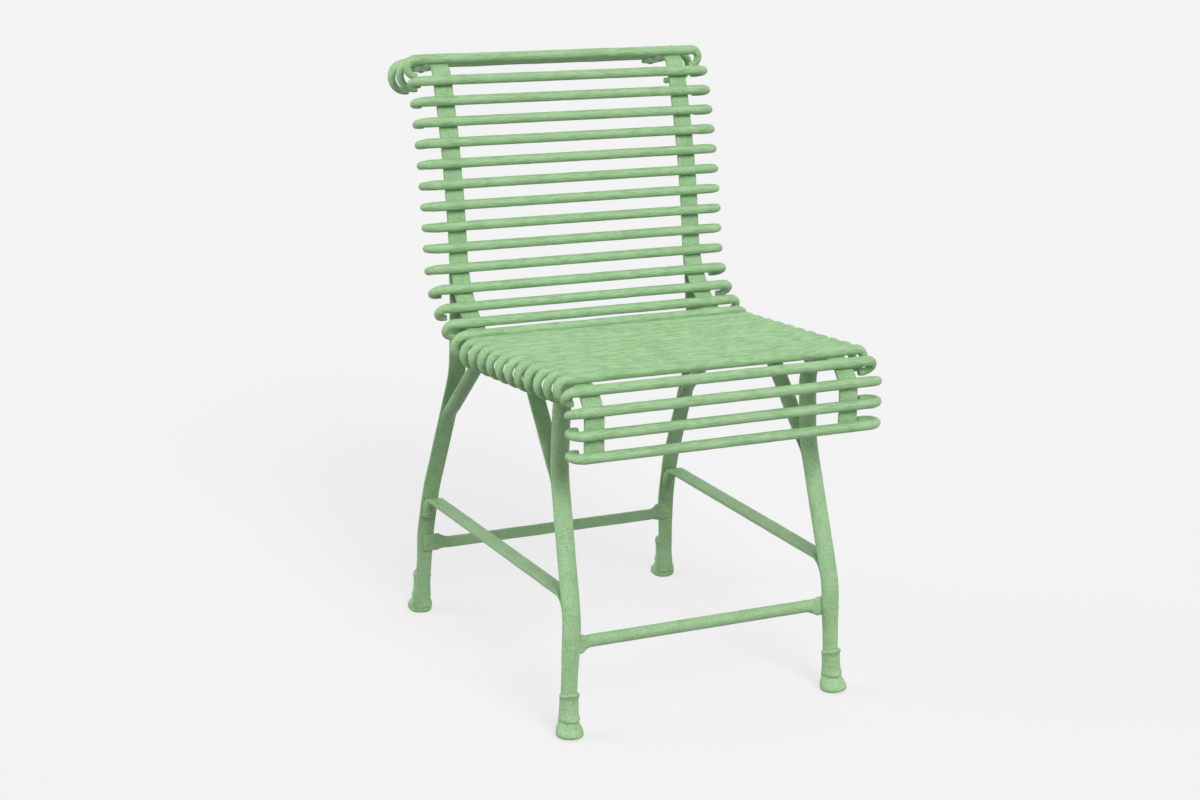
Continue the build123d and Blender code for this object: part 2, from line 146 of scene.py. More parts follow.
def resample(points: Sequence[Point2], count: int) -> Outline:
    """Spread points evenly along a closed outline.

    Args:
        points: Corners of the outline, first point not repeated.
        count: Number of points wanted.

    Returns:
        The evenly spaced points, starting at the first corner.
    """
    closed = list(points) + [points[0]]
    runs = [math.dist(a, b) for a, b in zip(closed, closed[1:])]
    total = sum(runs)
    result = []
    index, passed = 0, 0.0
    for k in range(count):
        target = total * k / count
        while passed + runs[index] < target:
            passed += runs[index]
            index += 1
        share = (target - passed) / runs[index] if runs[index] else 0.0
        (ax, ay), (bx, by) = closed[index], closed[index + 1]
        result.append((ax + (bx - ax) * share, ay + (by - ay) * share))
    return result


def soften(points: Outline, passes: int) -> Outline:
    """Round the corners of a closed outline.

    Args:
        points: Evenly spaced points.
        passes: How often each point moves toward its neighbours.

    Returns:
        The softened outline.
    """
    for _ in range(passes):
        before = points[-1:] + points[:-1]
        after = points[1:] + points[:1]
        points = [
            (0.5 * x + 0.25 * (a + c), 0.5 * y + 0.25 * (b + d))
            for (x, y), (a, b), (c, d) in zip(points, before, after)
        ]
    return points


@dataclass(frozen=True)
class HalfRound:
    """Half-round bar section: a flat face, two short edges and a domed side."""

    width: float
    depth: float
    edge: float
    passes: int = 2

    def outline(self, count: int = 40) -> Outline:
        """Outline around the section, starting at the middle of the flat.

        Args:
            count: Number of points.

        Returns:
            Points as (across, out from the flat).
        """
        half = self.width / 2
        rise = max(self.depth - self.edge, THINNEST_RISE)
        ball = (half * half + rise * rise) / (2 * rise)
        sweep = math.asin(min(1.0, half / ball))
        if rise > half:
            sweep = math.pi - sweep
        dome = []
        for k in range(DOME_STEPS + 1):
            a = sweep * (1 - 2 * k / DOME_STEPS)
            dome.append((ball * math.sin(a), self.depth - ball + ball * math.cos(a)))
        corners = [(0.0, 0.0), (half, 0.0)] + dome + [(-half, 0.0)]
        return soften(resample(corners, count), self.passes)


@dataclass(frozen=True)
class HoofSlice:
    """Oval slice of a foot, cut off at the flat of the leg or left whole."""

    width: float
    front: float
    back: float
    cut: Optional[float] = None
    passes: int = 1

    def outline(self, count: int = 44) -> Outline:
        """Outline around the slice, starting at the middle of its back.

        Args:
            count: Number of points.

        Returns:
            Points as (across, out from the flat).
        """
        half = self.width / 2
        middle, reach = (self.front + self.back) / 2, (self.front - self.back) / 2
        low = self.back if self.cut is None else self.cut
        start = math.asin(max(-1.0, min(1.0, (low - middle) / reach)))
        turn = math.pi - 2 * start
        angles = [start + turn * k / OVAL_STEPS for k in range(OVAL_STEPS + 1)]
        oval = [(half * math.cos(a), middle + reach * math.sin(a)) for a in angles]
        return soften(resample([(0.0, low)] + oval, count), self.passes)


@dataclass(frozen=True)
class Hammering:
    """Unevenness that the hammer leaves: broad dents and finer ones, in millimetres."""

    broad: float = 0.28
    broad_size: float = 26.0
    fine: float = 0.10
    fine_size: float = 7.0
    seed: float = 3.7

    def depth(self, x: float, y: float, z: float) -> float:
        """Height of the surface at a place.

        Args:
            x: Place across.
            y: Place in depth.
            z: Place in height.

        Returns:
            Offset along the normal, in millimetres.
        """
        a = Vector((x + self.seed, y, z)) / self.broad_size
        b = Vector((x, y + self.seed, z)) / self.fine_size
        return self.broad * noise.noise(a) + self.fine * noise.noise(b)


@dataclass(frozen=True)
class Skin:
    """Skin of a bar made of rings, in millimetres."""

    rings: list[list[Vector]]

    def closed(self, bevel: float) -> "Skin":
        """Round both ends over a small bevel and close them.

        Args:
            bevel: Size of the rounding, in millimetres.

        Returns:
            The closed skin.
        """
        first, second, *_, previous, last = self.rings
        start = self._close(first, second, bevel)[::-1]
        return Skin(start + self.rings[1:-1] + self._close(last, previous, bevel))

    @staticmethod
    def _close(ring: list[Vector], inner: list[Vector], bevel: float) -> list[list[Vector]]:
        """Rings that close one end, from the bar outward.

        Args:
            ring: End ring.
            inner: Its neighbour.
            bevel: Size of the rounding.

        Returns:
            The closing rings.
        """
        middle = sum(ring, Vector()) / len(ring)
        back = sum(inner, Vector()) / len(inner) - middle
        back = back.normalized() * min(bevel, back.length * BEVEL_LIMIT)
        reach = sum((p - middle).length for p in ring) / len(ring)
        steps = [(bevel * part, drop) for part, drop in BEVEL_STEPS]
        closing = []
        for size, drop in steps + [(reach * CAP_CORE, 0.0)]:
            share = 1 - size / reach
            closing.append([middle + (p - middle) * share + back * drop for p in ring])
        closing.append([middle])
        return closing

    def mesh(self, name: str, hammering: Hammering, sharp: float = 38.0) -> bpy.types.Object:
        """Make the object.

        Args:
            name: Name of the piece.
            hammering: Unevenness of its surface.
            sharp: Angle over which an edge stays crisp, in degrees.

        Returns:
            The new object, at the origin.
        """
        verts: list[Vector] = []
        starts: list[int] = []
        for ring in self.rings:
            starts.append(len(verts))
            verts.extend(ring)
        faces: list[tuple[int, ...]] = []
        for k in range(len(self.rings) - 1):
            a, b = starts[k], starts[k + 1]
            na, nb = len(self.rings[k]), len(self.rings[k + 1])
            count = max(na, nb)
            for i in range(count):
                j = (i + 1) % count
                if na == 1:
                    faces.append((a, b + j, b + i))
                elif nb == 1:
                    faces.append((a + i, a + j, b))
                else:
                    faces.append((a + i, a + j, b + j, b + i))
        mesh = bpy.data.meshes.new(name)
        mesh.from_pydata([tuple(v) for v in verts], [], faces)
        mesh.update()
        if signed_volume(mesh) < 0:
            mesh.flip_normals()
        normals = [v.normal.copy() for v in mesh.vertices]
        for vertex, normal in zip(mesh.vertices, normals):
            x, y, z = vertex.co
            vertex.co = (vertex.co + normal * hammering.depth(x, y, z)) * MM
        mesh.update()
        for polygon in mesh.polygons:
            polygon.use_smooth = True
        mesh.set_sharp_from_angle(angle=math.radians(sharp))
        return in_scene(name, mesh)


def signed_volume(mesh: bpy.types.Mesh) -> float:
    """Volume inside a closed mesh, negative where it is inside out.

    Args:
        mesh: Closed mesh.

    Returns:
        The signed volume.
    """
    mesh.calc_loop_triangles()
    total = 0.0
    for triangle in mesh.loop_triangles:
        a, b, c = (mesh.vertices[i].co for i in triangle.vertices)
        total += a.dot(b.cross(c)) / 6
    return total


# The side route of the slats


@dataclass(frozen=True)
class SideRoute:
    """Side line of the slat centres, from the rear of the top roll to below the front edge.

    A heading is the angle from straight down toward the front, in degrees.
    """

    move_y: float = 146.11
    seat_height: float = 473.0
    slat_radius: float = 6.75
    slat_bed: float = 0.3
    roll_run: float = 58.7
    roll_heading: float = 101.6
    roll_radius: float = 26.0
    back_lean_top: float = 20.93
    back_radius: float = 974.0
    back_length: float = 246.9
    hollow_radius: float = 111.3
    seat_heading: float = 92.98
    seat_length: float = 273.8
    front_radius: float = 48.2
    front_drop: float = 40.8
    first_even: float = 10.5
    crest_back: float = 29.0
    roll_step: float = 34.3
    strap_thick: float = 5.0
    strap_tail: float = 8.5
    strap_nose: float = 12.0
    even_slats: int = 29
    roll_slats: int = 3

    def pieces(self) -> list[tuple[float, float, float]]:
        """Lengths and headings of the straights and arcs of the route."""
        lean_low = self.back_lean_top - math.degrees(self.back_length / self.back_radius)
        turn_up = math.radians(self.roll_heading - self.back_lean_top)
        turn_hollow = math.radians(self.seat_heading - lean_low)
        turn_front = math.radians(self.seat_heading)
        roll, hollow = self.roll_radius * turn_up, self.hollow_radius * turn_hollow
        return [
            (self.roll_run + self.strap_nose, self.roll_heading, self.roll_heading),
            (roll, self.roll_heading, self.back_lean_top),
            (self.back_length, self.back_lean_top, lean_low),
            (hollow, lean_low, self.seat_heading),
            (self.seat_length, self.seat_heading, self.seat_heading),
            (self.front_radius * turn_front, self.seat_heading, 0.0),
            (self.front_drop + self.strap_tail, 0.0, 0.0),
        ]

    @staticmethod
    def step(y: float, z: float, length: float, start: float, end: float) -> Point2:
        """Point reached after a straight or an arc.

        Args:
            y: Start in depth.
            z: Start in height.
            length: Length of the run.
            start: Heading at its start.
            end: Heading at its end.

        Returns:
            The (y, z) point.
        """
        a, b = math.radians(start), math.radians(end)
        if start == end:
            return y - length * math.sin(a), z - length * math.cos(a)
        radius = length / (b - a)
        ahead, down = math.cos(b) - math.cos(a), math.sin(b) - math.sin(a)
        return y + radius * ahead, z - radius * down

    def nodes(self) -> list[Point2]:
        """Start point of every run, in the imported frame."""
        spots = [(0.0, 0.0)]
        for length, start, end in self.pieces():
            spots.append(self.step(*spots[-1], length, start, end))
        lift = self.seat_height - self.slat_radius - spots[Run.FRONT_BEND][1]
        return [(y - spots[Run.HOLLOW][0] + self.move_y, z + lift) for y, z in spots]

    def back_start(self) -> float:
        """Length of the route before the back."""
        return sum(p[0] for p in self.pieces()[: Run.BACK])

    def length(self) -> float:
        """Length of the whole route."""
        return sum(p[0] for p in self.pieces())

    def at(self, s: float) -> tuple[float, float, float]:
        """Slat centre and heading at a distance from the top of the back.

        Args:
            s: Distance along the route.

        Returns:
            Depth, height and heading.
        """
        left = s + self.back_start()
        runs = self.pieces()
        for k, ((length, start, end), (y, z)) in enumerate(zip(runs, self.nodes())):
            if left <= length or k == len(runs) - 1:
                heading = start + (end - start) * left / length
                y, z = self.step(y, z, left, start, heading)
                return y, z, heading
            left -= length
        raise ValueError("distance outside the route")

    def toward_sitter(self, s: float) -> Vector:
        """Unit vector from the strap toward the sitter at a distance along the route."""
        a = math.radians(self.at(s)[2])
        return Vector((0.0, -math.cos(a), math.sin(a)))

    def beside(self, s: float, offset: float) -> Vector:
        """Point at the chair's middle, offset from the route toward the sitter."""
        y, z, _ = self.at(s)
        return Vector((0.0, y, z)) + self.toward_sitter(s) * offset

    def slat_places(self) -> list[float]:
        """Distances of the slats along the route, from the rear of the roll to the front."""
        last = self.length() - self.back_start() - self.strap_tail
        pitch = (last - self.first_even) / (self.even_slats - 1)
        steps = range(self.roll_slats - 1, -1, -1)
        roll = [-self.crest_back - self.roll_step * i for i in steps]
        return roll + [self.first_even + pitch * i for i in range(self.even_slats)]

    def pitch(self) -> float:
        """Distance between the even slats."""
        places = self.slat_places()
        return places[-1] - places[-2]

    def strap_face(self) -> float:
        """Distance from the slat centres to the strap."""
        return self.slat_radius - self.slat_bed

    def strap_back(self) -> float:
        """Distance from the slat centres to the back of the strap."""
        return self.strap_face() + self.strap_thick

    def under_strap(self, y: float, sink: float) -> Point2:
        """Point on the underside of the seat strap, moved up into it.

        Args:
            y: Place in depth.
            sink: Distance into the strap.

        Returns:
            The (y, z) point.
        """
        s_rear = sum(p[0] for p in self.pieces()[: Run.SEAT]) - self.back_start()
        rear = self.beside(s_rear, sink - self.strap_back())
        return y, rear.z + (y - rear.y) / math.tan(math.radians(self.seat_heading))

    def slat_under(self, index: int, clear: float) -> float:
        """Depth under a seat slat, moved toward the rear by clear."""
        return self.beside(self.slat_places()[index], -self.strap_back()).y + clear


# Bars along rounded lines

SHORTEST_RUN = 0.2
LEAST_ARC_STEPS = 3


@dataclass(frozen=True)
class RoundedLine:
    """Line of (y, z) points with rounded corners, in the upright side plane."""

    points: tuple[Point2, ...]
    radii: tuple[float, ...]

    def samples(self, pace: float = 4.0) -> list[tuple[Vector, Vector]]:
        """Points and headings along the line.

        Args:
            pace: Distance between samples.

        Returns:
            Pairs of point and unit direction.
        """
        spots = [Vector((0.0, y, z)) for y, z in self.points]
        found: list[tuple[Vector, Vector]] = []
        start = spots[0]
        corners = zip(spots, spots[1:], spots[2:], self.radii)
        for before, corner, after, radius in corners:
            into = (corner - before).normalized()
            away = (after - corner).normalized()
            turn = into.angle(away)
            setback = radius * math.tan(turn / 2)
            arc_start = corner - into * setback
            self._straight(found, start, arc_start, pace)
            inward = (away - into).normalized()
            centre = corner + inward * (radius / math.cos(turn / 2))
            steps = max(LEAST_ARC_STEPS, round(radius * turn / pace))
            axis = into.cross(away).normalized()
            for k in range(steps):
                spin = Matrix.Rotation(turn * k / steps, 3, axis)
                found.append((centre + spin @ (arc_start - centre), spin @ into))
            start = corner + away * setback
        self._straight(found, start, spots[-1], pace)
        found.append((spots[-1], (spots[-1] - start).normalized()))
        return found

    @staticmethod
    def _straight(
        found: list[tuple[Vector, Vector]], a: Vector, b: Vector, pace: float
    ) -> None:
        """Add the samples of a straight run, without its end.

        Args:
            found: List that grows.
            a: Start.
            b: End.
            pace: Distance between samples.
        """
        run = b - a
        if run.length < SHORTEST_RUN:
            return
        steps = max(1, round(run.length / pace))
        found.extend((a + run * (k / steps), run.normalized()) for k in range(steps))

    def along(self, height: float) -> tuple[float, float]:
        """Depth and lean of the unrounded line at a height.

        Args:
            height: Height looked for.

        Returns:
            Depth, and the lean from upright toward the rear in degrees.
        """
        for (y0, z0), (y1, z1) in zip(self.points, self.points[1:]):
            if z0 <= height <= z1:
                lean = math.degrees(math.atan2(y1 - y0, z1 - z0))
                return y0 + (y1 - y0) * (height - z0) / (z1 - z0), lean
        raise ValueError("height outside the line")

    def off(self, height: float, offset: float) -> Point2:
        """Point beside the line at a height, offset square to it toward the rear.

        Args:
            height: Height on the line.
            offset: Distance toward the rear.

        Returns:
            The (y, z) point.
        """
        y, lean = self.along(height)
        a = math.radians(lean)
        return y + offset * math.cos(a), height - offset * math.sin(a)


@dataclass(frozen=True)
class Stance:
    """How far apart a pair of legs stands, and how much it leans inward going up."""

    spread: float
    splay: float

    def place(self, point: Vector) -> Vector:
        """Move a point of the upright right side to its leaning place.

        Args:
            point: Point with x measured from the leg's middle plane.

        Returns:
            The point in the chair's frame.
        """
        a = math.radians(self.splay)
        x = point.x * math.cos(a) - point.z * math.sin(a)
        z = point.x * math.sin(a) + point.z * math.cos(a)
        return Vector((self.spread / 2 + x, point.y, z))

    def reach(self, height: float) -> float:
        """Distance of the leg's middle from the chair's middle at a height."""
        return self.spread / 2 - height * math.tan(math.radians(self.splay))


def bar_skin(
    line: RoundedLine,
    section: Callable[[Vector, float], HalfRound],
    facing: int,
    place: Callable[[Vector], Vector],
    bevel: float = 1.2,
) -> Skin:
    """Skin of a half-round bar along a line.

    Args:
        line: Line on its flat face.
        section: Section at a point and its share of the way.
        facing: 1 or -1, the side of the line on which the round lies.
        place: Moves a point of the side plane to its place.
        bevel: Rounding of its ends.

    Returns:
        The closed skin.
    """
    samples = line.samples()
    rings = []
    for k, (point, heading) in enumerate(samples):
        out = Vector((0.0, heading.z, -heading.y)) * facing
        outline = section(point, k / (len(samples) - 1)).outline()
        rings.append([place(point + Vector((u, 0.0, 0.0)) + out * v) for u, v in outline])
    return Skin(rings).closed(bevel)


# Node trees


class NodeTree:
    """Node tree with one way to add a node and set or link its inputs."""

    def __init__(self, tree: bpy.types.NodeTree) -> None:
        """Start on a tree, without the nodes that it came with.

        Args:
            tree: Tree of a material, the room or a shape.
        """
        self.tree = tree
        tree.nodes.clear()

    def add(self, kind: str, inputs: Optional[dict] = None, **settings: object) -> bpy.types.Node:
        """Add a node.

        Args:
            kind: Node type.
            inputs: Sockets or plain values by input name or index.
            settings: Node properties.

        Returns:
            The node.
        """
        node = self.tree.nodes.new(kind)
        for key, value in settings.items():
            setattr(node, key, value)
        for key, value in (inputs or {}).items():
            if isinstance(value, bpy.types.NodeSocket):
                self.tree.links.new(value, node.inputs[key])
            else:
                node.inputs[key].default_value = value
        return node

    def calculate(self, operation: str, *values: object) -> bpy.types.NodeSocket:
        """Add a calculation.

        Args:
            operation: Its kind.
            values: Sockets or plain numbers.

        Returns:
            The result.
        """
        return self.add("ShaderNodeMath", dict(enumerate(values)), operation=operation).outputs[0]

    def pattern(
        self, where: bpy.types.NodeSocket, scale: float, detail: float
    ) -> bpy.types.NodeSocket:
        """Add a noise pattern.

        Args:
            where: Coordinates.
            scale: Scale of the pattern.
            detail: Its detail.

        Returns:
            The height of the pattern.
        """
        inputs = {"Vector": where, "Scale": scale, "Detail": detail}
        return self.add("ShaderNodeTexNoise", inputs).outputs["Fac"]

    def shown_rays(self, *kinds: str) -> bpy.types.NodeSocket:
        """Tell the rays that show the room from those that light it.

        Args:
            kinds: Outputs of the light path, two or more.

        Returns:
            1 for a ray of one of the kinds, otherwise 0.
        """
        path = self.add("ShaderNodeLightPath")
        result = path.outputs[kinds[0]]
        for kind in kinds[1:]:
            result = self.calculate("MAXIMUM", result, path.outputs[kind])
        return result


# Paint


@dataclass(frozen=True)
class IronPaint:
    """Satin paint brushed over slightly pitted forged iron."""

    name: str
    colour: tuple[float, float, float]
    deep: tuple[float, float, float]
    along: float = 1.0
    cloud_scale: float = 42.0
    speck_scale: float = 620.0
    detail: float = 3.0
    pit_detail: float = 2.0
    cloud_share: float = 0.3
    blend_range: Point2 = (0.38, 0.56)
    roughness_range: Point2 = (0.37, 0.56)
    pit_range: Point2 = (0.30, 0.46)
    pit_depth: float = 0.00045
    pit_strength: float = 0.55
    grain_depth: float = 0.00060
    grain_strength: float = 0.8
    gloss: float = 0.45

    def material(self) -> bpy.types.Material:
        """Build the node material.

        Returns:
            The material.
        """
        made = bpy.data.materials.new(self.name)
        made.use_nodes = True
        tree = NodeTree(made.node_tree)
        where = tree.add("ShaderNodeTexCoord").outputs["Object"]
        drawn = tree.add("ShaderNodeMapping", {"Vector": where, "Scale": (self.along, 1.0, 1.0)})
        cloud = tree.pattern(where, self.cloud_scale, self.detail)
        speck = tree.pattern(drawn.outputs["Vector"], self.speck_scale, self.detail)
        pit = tree.pattern(where, self.speck_scale, self.pit_detail)
        specks = tree.calculate("MULTIPLY", speck, 1 - self.cloud_share)
        blend = tree.calculate("MULTIPLY_ADD", cloud, self.cloud_share, specks)
        ramp = tree.add("ShaderNodeValToRGB", {"Fac": blend})
        stops = ramp.color_ramp.elements
        for stop, place, colour in zip(stops, self.blend_range, (self.deep, self.colour)):
            stop.position = place
            stop.color = (*colour, 1.0)
        smooth, dull = self.roughness_range
        rough = tree.add("ShaderNodeMapRange", {"Value": speck, "To Min": smooth, "To Max": dull})
        low, high = self.pit_range
        hollow = tree.add("ShaderNodeMapRange", {"Value": pit, "From Min": low, "From Max": high})
        pits = tree.add("ShaderNodeBump", {
            "Height": hollow.outputs["Result"],
            "Strength": self.pit_strength,
            "Distance": self.pit_depth,
        })
        grain = tree.add("ShaderNodeBump", {
            "Height": speck,
            "Normal": pits.outputs["Normal"],
            "Strength": self.grain_strength,
            "Distance": self.grain_depth,
        })
        shader = tree.add("ShaderNodeBsdfPrincipled", {
            "Base Color": ramp.outputs["Color"],
            "Roughness": rough.outputs["Result"],
            "Normal": grain.outputs["Normal"],
            "Specular IOR Level": self.gloss,
        })
        tree.add("ShaderNodeOutputMaterial", {"Surface": shader.outputs["BSDF"]})
        return made


def linear(red: int, green: int, blue: int) -> tuple[float, float, float]:
    """Linear colour of a screen colour.

    Args:
        red: Red from 0 to 255.
        green: Green from 0 to 255.
        blue: Blue from 0 to 255.

    Returns:
        The linear components.
    """
    def one(level: int) -> float:
        """Linear level of one channel."""
        share = level / 255
        return share / 12.92 if share <= 0.04045 else ((share + 0.055) / 1.055) ** 2.4

    return one(red), one(green), one(blue)


class PaintShop:
    """Keeps one material for each coat."""

    coats = {
        Tone.BARS: IronPaint("paint_on_bars", linear(165, 204, 154), linear(137, 178, 126)),
        Tone.SLATS: IronPaint("paint_on_slats", linear(166, 205, 155), linear(138, 179, 127), 0.10),
        Tone.RIVETS: IronPaint("paint_on_rivets", linear(168, 206, 157), linear(146, 186, 135)),
    }

    def __init__(self) -> None:
        """Start with no materials."""
        self.made: dict[Tone, bpy.types.Material] = {}

    def coat(self, tone: Tone) -> bpy.types.Material:
        """Material of a coat.

        Args:
            tone: Coat asked for.

        Returns:
            The material.
        """
        if tone not in self.made:
            self.made[tone] = self.coats[tone].material()
        return self.made[tone]


def dress(
    piece: bpy.types.Object, paint: Optional[bpy.types.Material], nodes: Iterable[str]
) -> None:
    """Paint a piece, let it ride on the chair and stand for its solids.

    Args:
        piece: Finished piece.
        paint: Its material, or None where it already has one.
        nodes: CAD nodes that it stands for.
    """
    if paint is not None:
        piece.data.materials.clear()
        piece.data.materials.append(paint)
    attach(piece, BODY)
    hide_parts(*nodes)
    log.info("%s: %d faces", piece.name, len(piece.data.polygons))


# Geometry Nodes

DENT_DETAIL = 2.0
PATTERN_MIDDLE = 0.5


class GeometryTree(NodeTree):
    """Geometry Nodes tree with named inputs, run once on an object."""

    def __init__(self, name: str, numbers: dict[str, float], paint: bpy.types.Material) -> None:
        """Start a tree with its inputs and its output.

        Args:
            name: Name of the tree.
            numbers: Its named numbers.
            paint: Paint of its surface.
        """
        super().__init__(bpy.data.node_groups.new(name, "GeometryNodeTree"))
        socket = self.tree.interface.new_socket
        socket("Geometry", in_out="INPUT", socket_type="NodeSocketGeometry")
        socket("Geometry", in_out="OUTPUT", socket_type="NodeSocketGeometry")
        self.values: dict[str, object] = {}
        for label, number in numbers.items():
            made = socket(label, in_out="INPUT", socket_type="NodeSocketFloat")
            self.values[made.identifier] = number
        made = socket("Paint", in_out="INPUT", socket_type="NodeSocketMaterial")
        self.values[made.identifier] = paint
        self.given = self.tree.nodes.new("NodeGroupInput").outputs

    def uneven(self, geometry: bpy.types.NodeSocket) -> bpy.types.NodeSocket:
        """Push a surface in and out by the inputs Unevenness, Dent Size and Seed.

        Args:
            geometry: Surface.

        Returns:
            The uneven surface.
        """
        dents = {
            "Vector": self.add("GeometryNodeInputPosition").outputs[0],
            "Scale": self.calculate("DIVIDE", 1.0, self.given["Dent Size"]),
            "W": self.given["Seed"],
            "Detail": DENT_DETAIL,
        }
        pattern = self.add("ShaderNodeTexNoise", dents, noise_dimensions="4D")
        middle = self.calculate("SUBTRACT", pattern.outputs["Fac"], PATTERN_MIDDLE)
        height = self.calculate("MULTIPLY", middle, self.given["Unevenness"])
        normal = self.add("GeometryNodeInputNormal").outputs[0]
        offset = self.add("ShaderNodeVectorMath", {0: normal, "Scale": height}, operation="SCALE")
        inputs = {"Geometry": geometry, "Offset": offset.outputs[0]}
        return self.add("GeometryNodeSetPosition", inputs).outputs[0]

    def finish(self, geometry: bpy.types.NodeSocket) -> None:
        """End the tree in smooth shading, real geometry and paint.

        Args:
            geometry: Last surface.
        """
        smooth = self.add("GeometryNodeSetShadeSmooth", {"Geometry": geometry})
        real = self.add("GeometryNodeRealizeInstances", {"Geometry": smooth.outputs[0]})
        inputs = {"Geometry": real.outputs[0], "Material": self.given["Paint"]}
        painted = self.add("GeometryNodeSetMaterial", inputs)
        self.add("NodeGroupOutput", {"Geometry": painted.outputs[0]})

    def run(self, start: bpy.types.Object, name: str) -> bpy.types.Object:
        """Run the tree on an object and keep the result as a plain mesh.

        Args:
            start: Object that the tree works on, removed afterwards.
            name: Name of the piece.

        Returns:
            The finished piece.
        """
        modifier = start.modifiers.new("shape", "NODES")
        modifier.node_group = self.tree
        for key, value in self.values.items():
            modifier[key] = value
        graph = bpy.context.evaluated_depsgraph_get()
        mesh = bpy.data.meshes.new_from_object(start.evaluated_get(graph), depsgraph=graph)
        start.modifiers.clear()
        bpy.data.objects.remove(start)
        mesh.name = name
        return in_scene(name, mesh)


# Sub-assemblies


@dataclass
class SlatRow:
    """Round-bar slats, each with a half-turn hook at both ends."""

    route: SideRoute
    chair_width: float = 460.0
    hook_radius: float = 11.25
    roll_hook_radius: float = 19.0
    seat_hook_radius: float = 16.0
    front_hook_radii: tuple[float, ...] = (15.0, 12.5, 11.25, 12.0, 13.5, 13.5)
    seat_start_slat: int = 16
    inset_from_slat: int = 13
    inset_step: float = 0.8
    hook_tail: float = 4.0
    tail_spread: float = 1.5
    tip_share: float = 0.62
    tip_curve: float = 0.85
    waviness: float = 0.5
    wave_length: float = 70.0
    wave_shift: float = 40.0
    unevenness: float = 0.8
    dent_size: float = 9.0
    hook_steps: int = 14
    bar_steps: int = 56
    round_points: int = 20
    sharp_angle: float = 50.0
    seed: int = 11

    def radii(self) -> list[float]:
        """Radius of the hooks of every slat."""
        count = len(self.route.slat_places())
        roll = self.route.roll_slats - 1
        back = self.seat_start_slat - roll
        seat = count - self.seat_start_slat - len(self.front_hook_radii)
        return (
            [self.roll_hook_radius] * roll
            + [self.hook_radius] * back
            + [self.seat_hook_radius] * seat
            + list(self.front_hook_radii)
        )

    def path(
        self, radius: float, inset: float, tails: Point2, bow: Callable[[float], float]
    ) -> list[Point2]:
        """Centre line of one slat, as (x, offset toward the sitter).

        Args:
            radius: Radius of its hooks.
            inset: How far its left end is moved in.
            tails: Length of the tail past each hook.
            bow: Waviness at a place across.

        Returns:
            The points from the left tail to the right one.
        """
        reach = self.chair_width / 2 - self.route.slat_radius - radius
        start = inset - reach
        turn = [math.pi * k / self.hook_steps for k in range(self.hook_steps + 1)]
        left = [(start + tails[0], -2 * radius), (start + tails[0] / 2, -2 * radius)]
        left += [(start - radius * math.sin(a), -radius - radius * math.cos(a)) for a in turn]
        places = [start + (reach - start) * k / self.bar_steps for k in range(1, self.bar_steps)]
        middle = [(x, bow(x)) for x in places]
        right = [(reach + radius * math.sin(a), -radius + radius * math.cos(a)) for a in turn]
        right += [(reach - tails[1] / 2, -2 * radius), (reach - tails[1], -2 * radius)]
        return left + middle + right

    def sizes(self, count: int) -> list[float]:
        """Share of the bar's radius at each point of a slat, smaller toward the tips.

        Args:
            count: Number of points.

        Returns:
            The shares.
        """
        tip = self.hook_steps + 2
        along = [max(0.0, 1 - min(k, count - 1 - k) / tip) for k in range(count)]
        return [1 - (1 - self.tip_share) * share ** self.tip_curve for share in along]

    def centre_lines(self) -> bpy.types.Object:
        """Curve object with one line for each slat.

        Returns:
            The curve object.
        """
        draw = random.Random(self.seed)
        curve = bpy.data.curves.new("slat_lines", "CURVE")
        curve.dimensions = "3D"
        for index, (s, radius) in enumerate(zip(self.route.slat_places(), self.radii())):
            inset = max(0, index - self.inset_from_slat) * self.inset_step
            spread = self.tail_spread
            tails = [self.hook_tail + draw.uniform(-spread, spread) for _ in range(2)]
            phase = draw.uniform(0, self.wave_shift)
            centre = self.route.beside(s, 0.0)
            out = self.route.toward_sitter(s)

            def bow(x: float, phase: float = phase) -> float:
                """Waviness of this slat."""
                return self.waviness * noise.noise(Vector((x / self.wave_length, phase, 0.0)))

            points = self.path(radius, inset, (tails[0], tails[1]), bow)
            spline = curve.splines.new("POLY")
            spline.points.add(len(points) - 1)
            for spot, size, (x, offset) in zip(spline.points, self.sizes(len(points)), points):
                place = (centre + Vector((x, 0.0, 0.0)) + out * offset) * MM
                spot.co = (*place, 1.0)
                spot.radius = size
        return in_scene("slat_lines", curve)

    def build(self, paint: bpy.types.Material) -> bpy.types.Object:
        """Run round bar along the centre lines.

        Args:
            paint: Paint of the slats.

        Returns:
            The slats.
        """
        numbers = {
            "Bar Radius": self.route.slat_radius * MM,
            "Unevenness": self.unevenness * MM,
            "Dent Size": self.dent_size * MM,
            "Seed": float(self.seed),
        }
        tree = GeometryTree("slat_bars", numbers, paint)
        ring = tree.add("GeometryNodeCurvePrimitiveCircle", {
            "Resolution": self.round_points,
            "Radius": tree.given["Bar Radius"],
        })
        bars = tree.add("GeometryNodeCurveToMesh", {
            "Curve": tree.given["Geometry"],
            "Profile Curve": ring.outputs[0],
            "Scale": tree.add("GeometryNodeInputRadius").outputs[0],
            "Fill Caps": True,
        })
        tree.finish(tree.uneven(bars.outputs[0]))
        slats = tree.run(self.centre_lines(), "hooked_slats")
        slats.data.set_sharp_from_angle(angle=math.radians(self.sharp_angle))
        return slats

    def dress(self, slats: bpy.types.Object) -> None:
        """Let the slats stand for their solids."""
        names = (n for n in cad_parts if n.removeprefix("slat_").isdigit())
        dress(slats, None, sorted(names))


